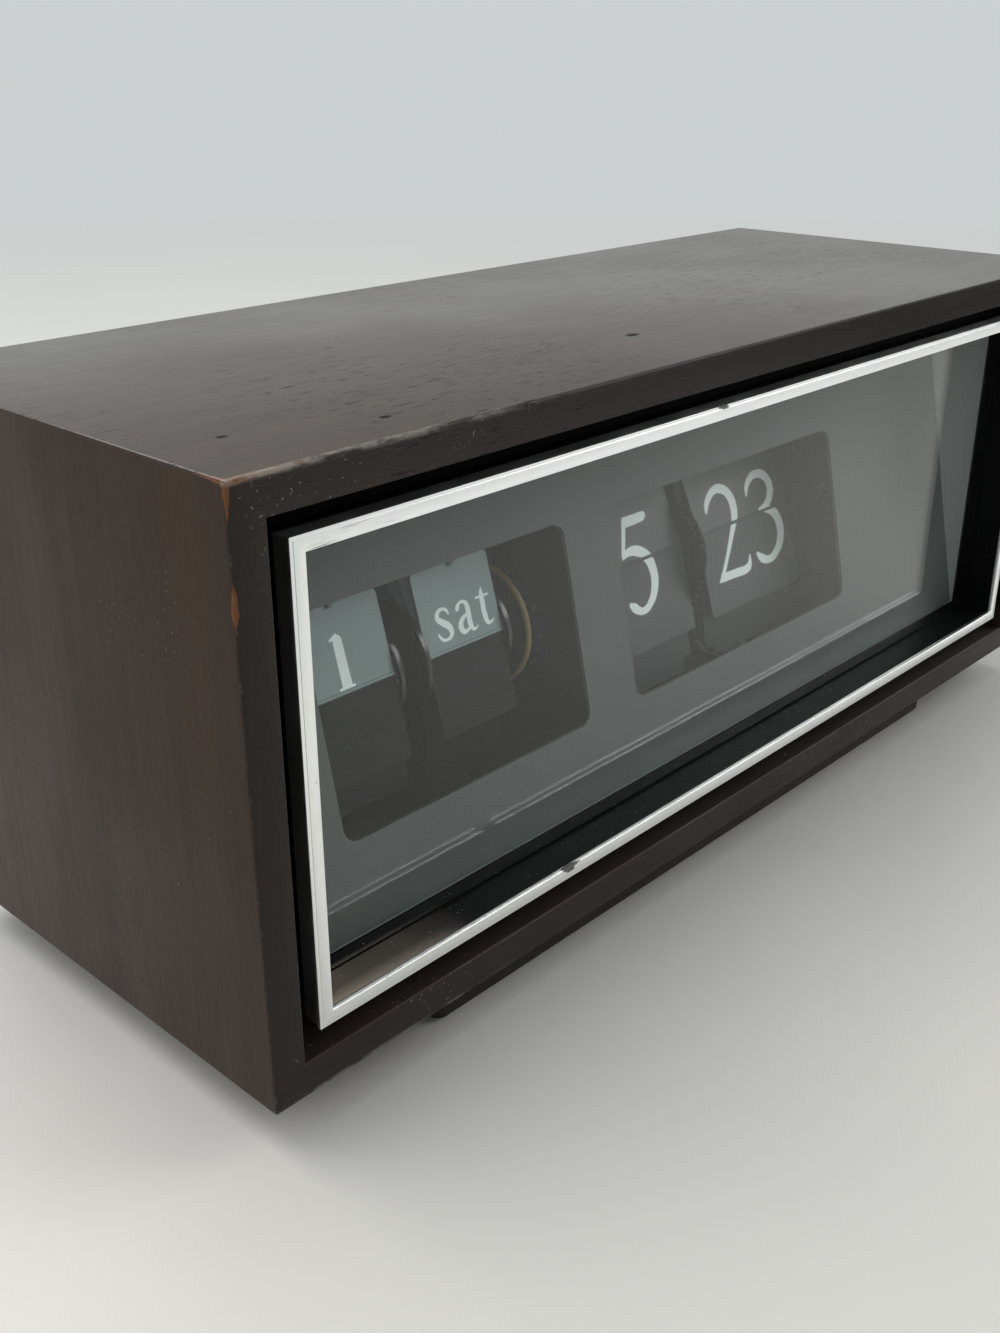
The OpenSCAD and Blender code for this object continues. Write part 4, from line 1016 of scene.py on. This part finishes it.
# %% Time
UPPER, LOWER = (0.2, 19), (-18.5, -0.45)
WAITING = {"hour": (3.0, 19), "minute": (2.5, 19)}
HOUR = [("5", 124.2, -12.1, 22.0, 1)]
NEXT_HOUR = [("6", 124.4, -12.1, 22.0, 1)]
MINUTE = [("2", 156.7, -12.7, 22.5, 1), ("3", 172.3, -12.7, 22.5, 1)]
NEXT_MINUTE = [("2", 156.7, -12.7, 22.5, 1), ("4", 171.9, -12.7, 22.5, 1)]

for unit, now, later in (("hour", HOUR, NEXT_HOUR), ("minute", MINUTE, NEXT_MINUTE)):
    leaf, pack, flap = unit + "_leaf", unit + "_leaves", unit + "_flap"
    written(unit + "_upper", flap, printed_plane(leaf, flap, True), now, UPPER)
    written(unit + "_lower", "case", printed_plane(pack, flap, False), now, LOWER)
    written(unit + "_next_upper", "case", printed_plane(pack, flap, True), later, WAITING[unit])
    written(unit + "_next_lower", flap, printed_plane(leaf, flap, True, True), later, LOWER)

# %% Calendar
DATE = [("1", 41.4, 0.5, 9.95, 1)]
NEXT_DATE = [("2", 40.6, 2.5, 9.95, 1.5)]
DAY = [("s", 65.8, 1.7, 6.4, 1), ("a", 71.2, 1.7, 6.4, 1), ("t", 76.8, 1.7, 6.4, 1)]
NEXT_DAY = [("s", 65.2, 5.7, 6.4, 1), ("u", 70.2, 5.7, 6.4, 1), ("n", 76.3, 5.7, 6.4, 1)]

for unit, now, later in (("date", DATE, NEXT_DATE), ("day", DAY, NEXT_DAY)):
    flap = unit + "_flap"
    written(unit + "_text", flap, printed_plane(unit + "_leaf", flap, True), now)
    written(unit + "_next", "case", printed_plane(unit + "_leaves", flap, True), later)

# %% [markdown]
# ## Floor and surroundings
#
# The clock stands on a pale sheet. Away from the clock the sheet fades into the colour
# of the surroundings for the camera, so there is no horizon from any side. Mirrors and
# lenses see the same pale room, and only the lamps and a dimmer sky give light.

# %% Floor
ROOM = (0.600, 0.637, 0.630)
PAPER, PAPER_SHADE = (0.655, 0.64, 0.60), (0.61, 0.60, 0.565)
FADE_FROM, FADE_TO = 0.32, 1.15

bpy.ops.object.select_all(action="DESELECT")
bpy.ops.mesh.primitive_plane_add(size=12, location=(0, 0, 0))
floor = bpy.context.object
floor.name = "floor"
f = Finish("pale_floor")
tone = f.blend(f.ramp(f.noise(9, 4), 0.3, 0.7), PAPER, PAPER_SHADE)
sheet = f.shader("BsdfPrincipled", {"Base Color": tone, "Roughness": 0.45,
                                    "Normal": f.bump(f.noise(55, 4), 0.25 * MM)})
room = f.shader("Emission", {"Color": ROOM, "Strength": 1.0})
away = f.value("VectorMath", {0: f.node("TexCoord").outputs["Object"]}, out="Value",
               operation="LENGTH")
seen = f.value("LightPath", out="Is Camera Ray").most(f.value("LightPath", out="Is Glossy Ray"))
floor.data.materials.append(f.surface(f.mix(f.ramp(away, FADE_FROM, FADE_TO) * seen, sheet, room)))

# %% World
AMBIENT, AMBIENT_STRENGTH = (0.93, 0.97, 1.0), 0.42

world = bpy.data.worlds.new("studio")
scene.world = world
world.use_nodes = True
tree = world.node_tree
tree.nodes.clear()


def background(colour, strength):
    node = tree.nodes.new("ShaderNodeBackground")
    node.inputs["Color"].default_value = (*colour, 1)
    node.inputs["Strength"].default_value = strength
    return node.outputs[0]


path = tree.nodes.new("ShaderNodeLightPath")
seen = tree.nodes.new("ShaderNodeMath")
seen.operation = "MAXIMUM"
tree.links.new(path.outputs["Is Camera Ray"], seen.inputs[0])
tree.links.new(path.outputs["Is Glossy Ray"], seen.inputs[1])
mixed = tree.nodes.new("ShaderNodeMixShader")
tree.links.new(seen.outputs[0], mixed.inputs[0])
tree.links.new(background(AMBIENT, AMBIENT_STRENGTH), mixed.inputs[1])
tree.links.new(background(ROOM, 1.0), mixed.inputs[2])
out = tree.nodes.new("ShaderNodeOutputWorld")
tree.links.new(mixed.outputs[0], out.inputs["Surface"])

# %% Lamps
AIM = Vector((0, 0, 0.05))


def lamp(name, place, size, watts):
    bpy.ops.object.light_add(type="AREA", location=place)
    light = bpy.context.object
    light.name = name
    light.data.size = size
    light.data.energy = watts
    light.rotation_euler = (AIM - Vector(place)).to_track_quat("-Z", "Y").to_euler()


lamp("overhead", (-0.25, 0.55, 1.3), 1.3, 17)
lamp("left", (-1.35, 0.15, 0.75), 1.0, 5)
lamp("right", (1.2, -0.9, 0.9), 0.9, 9)
scene.view_settings.view_transform = "Standard"
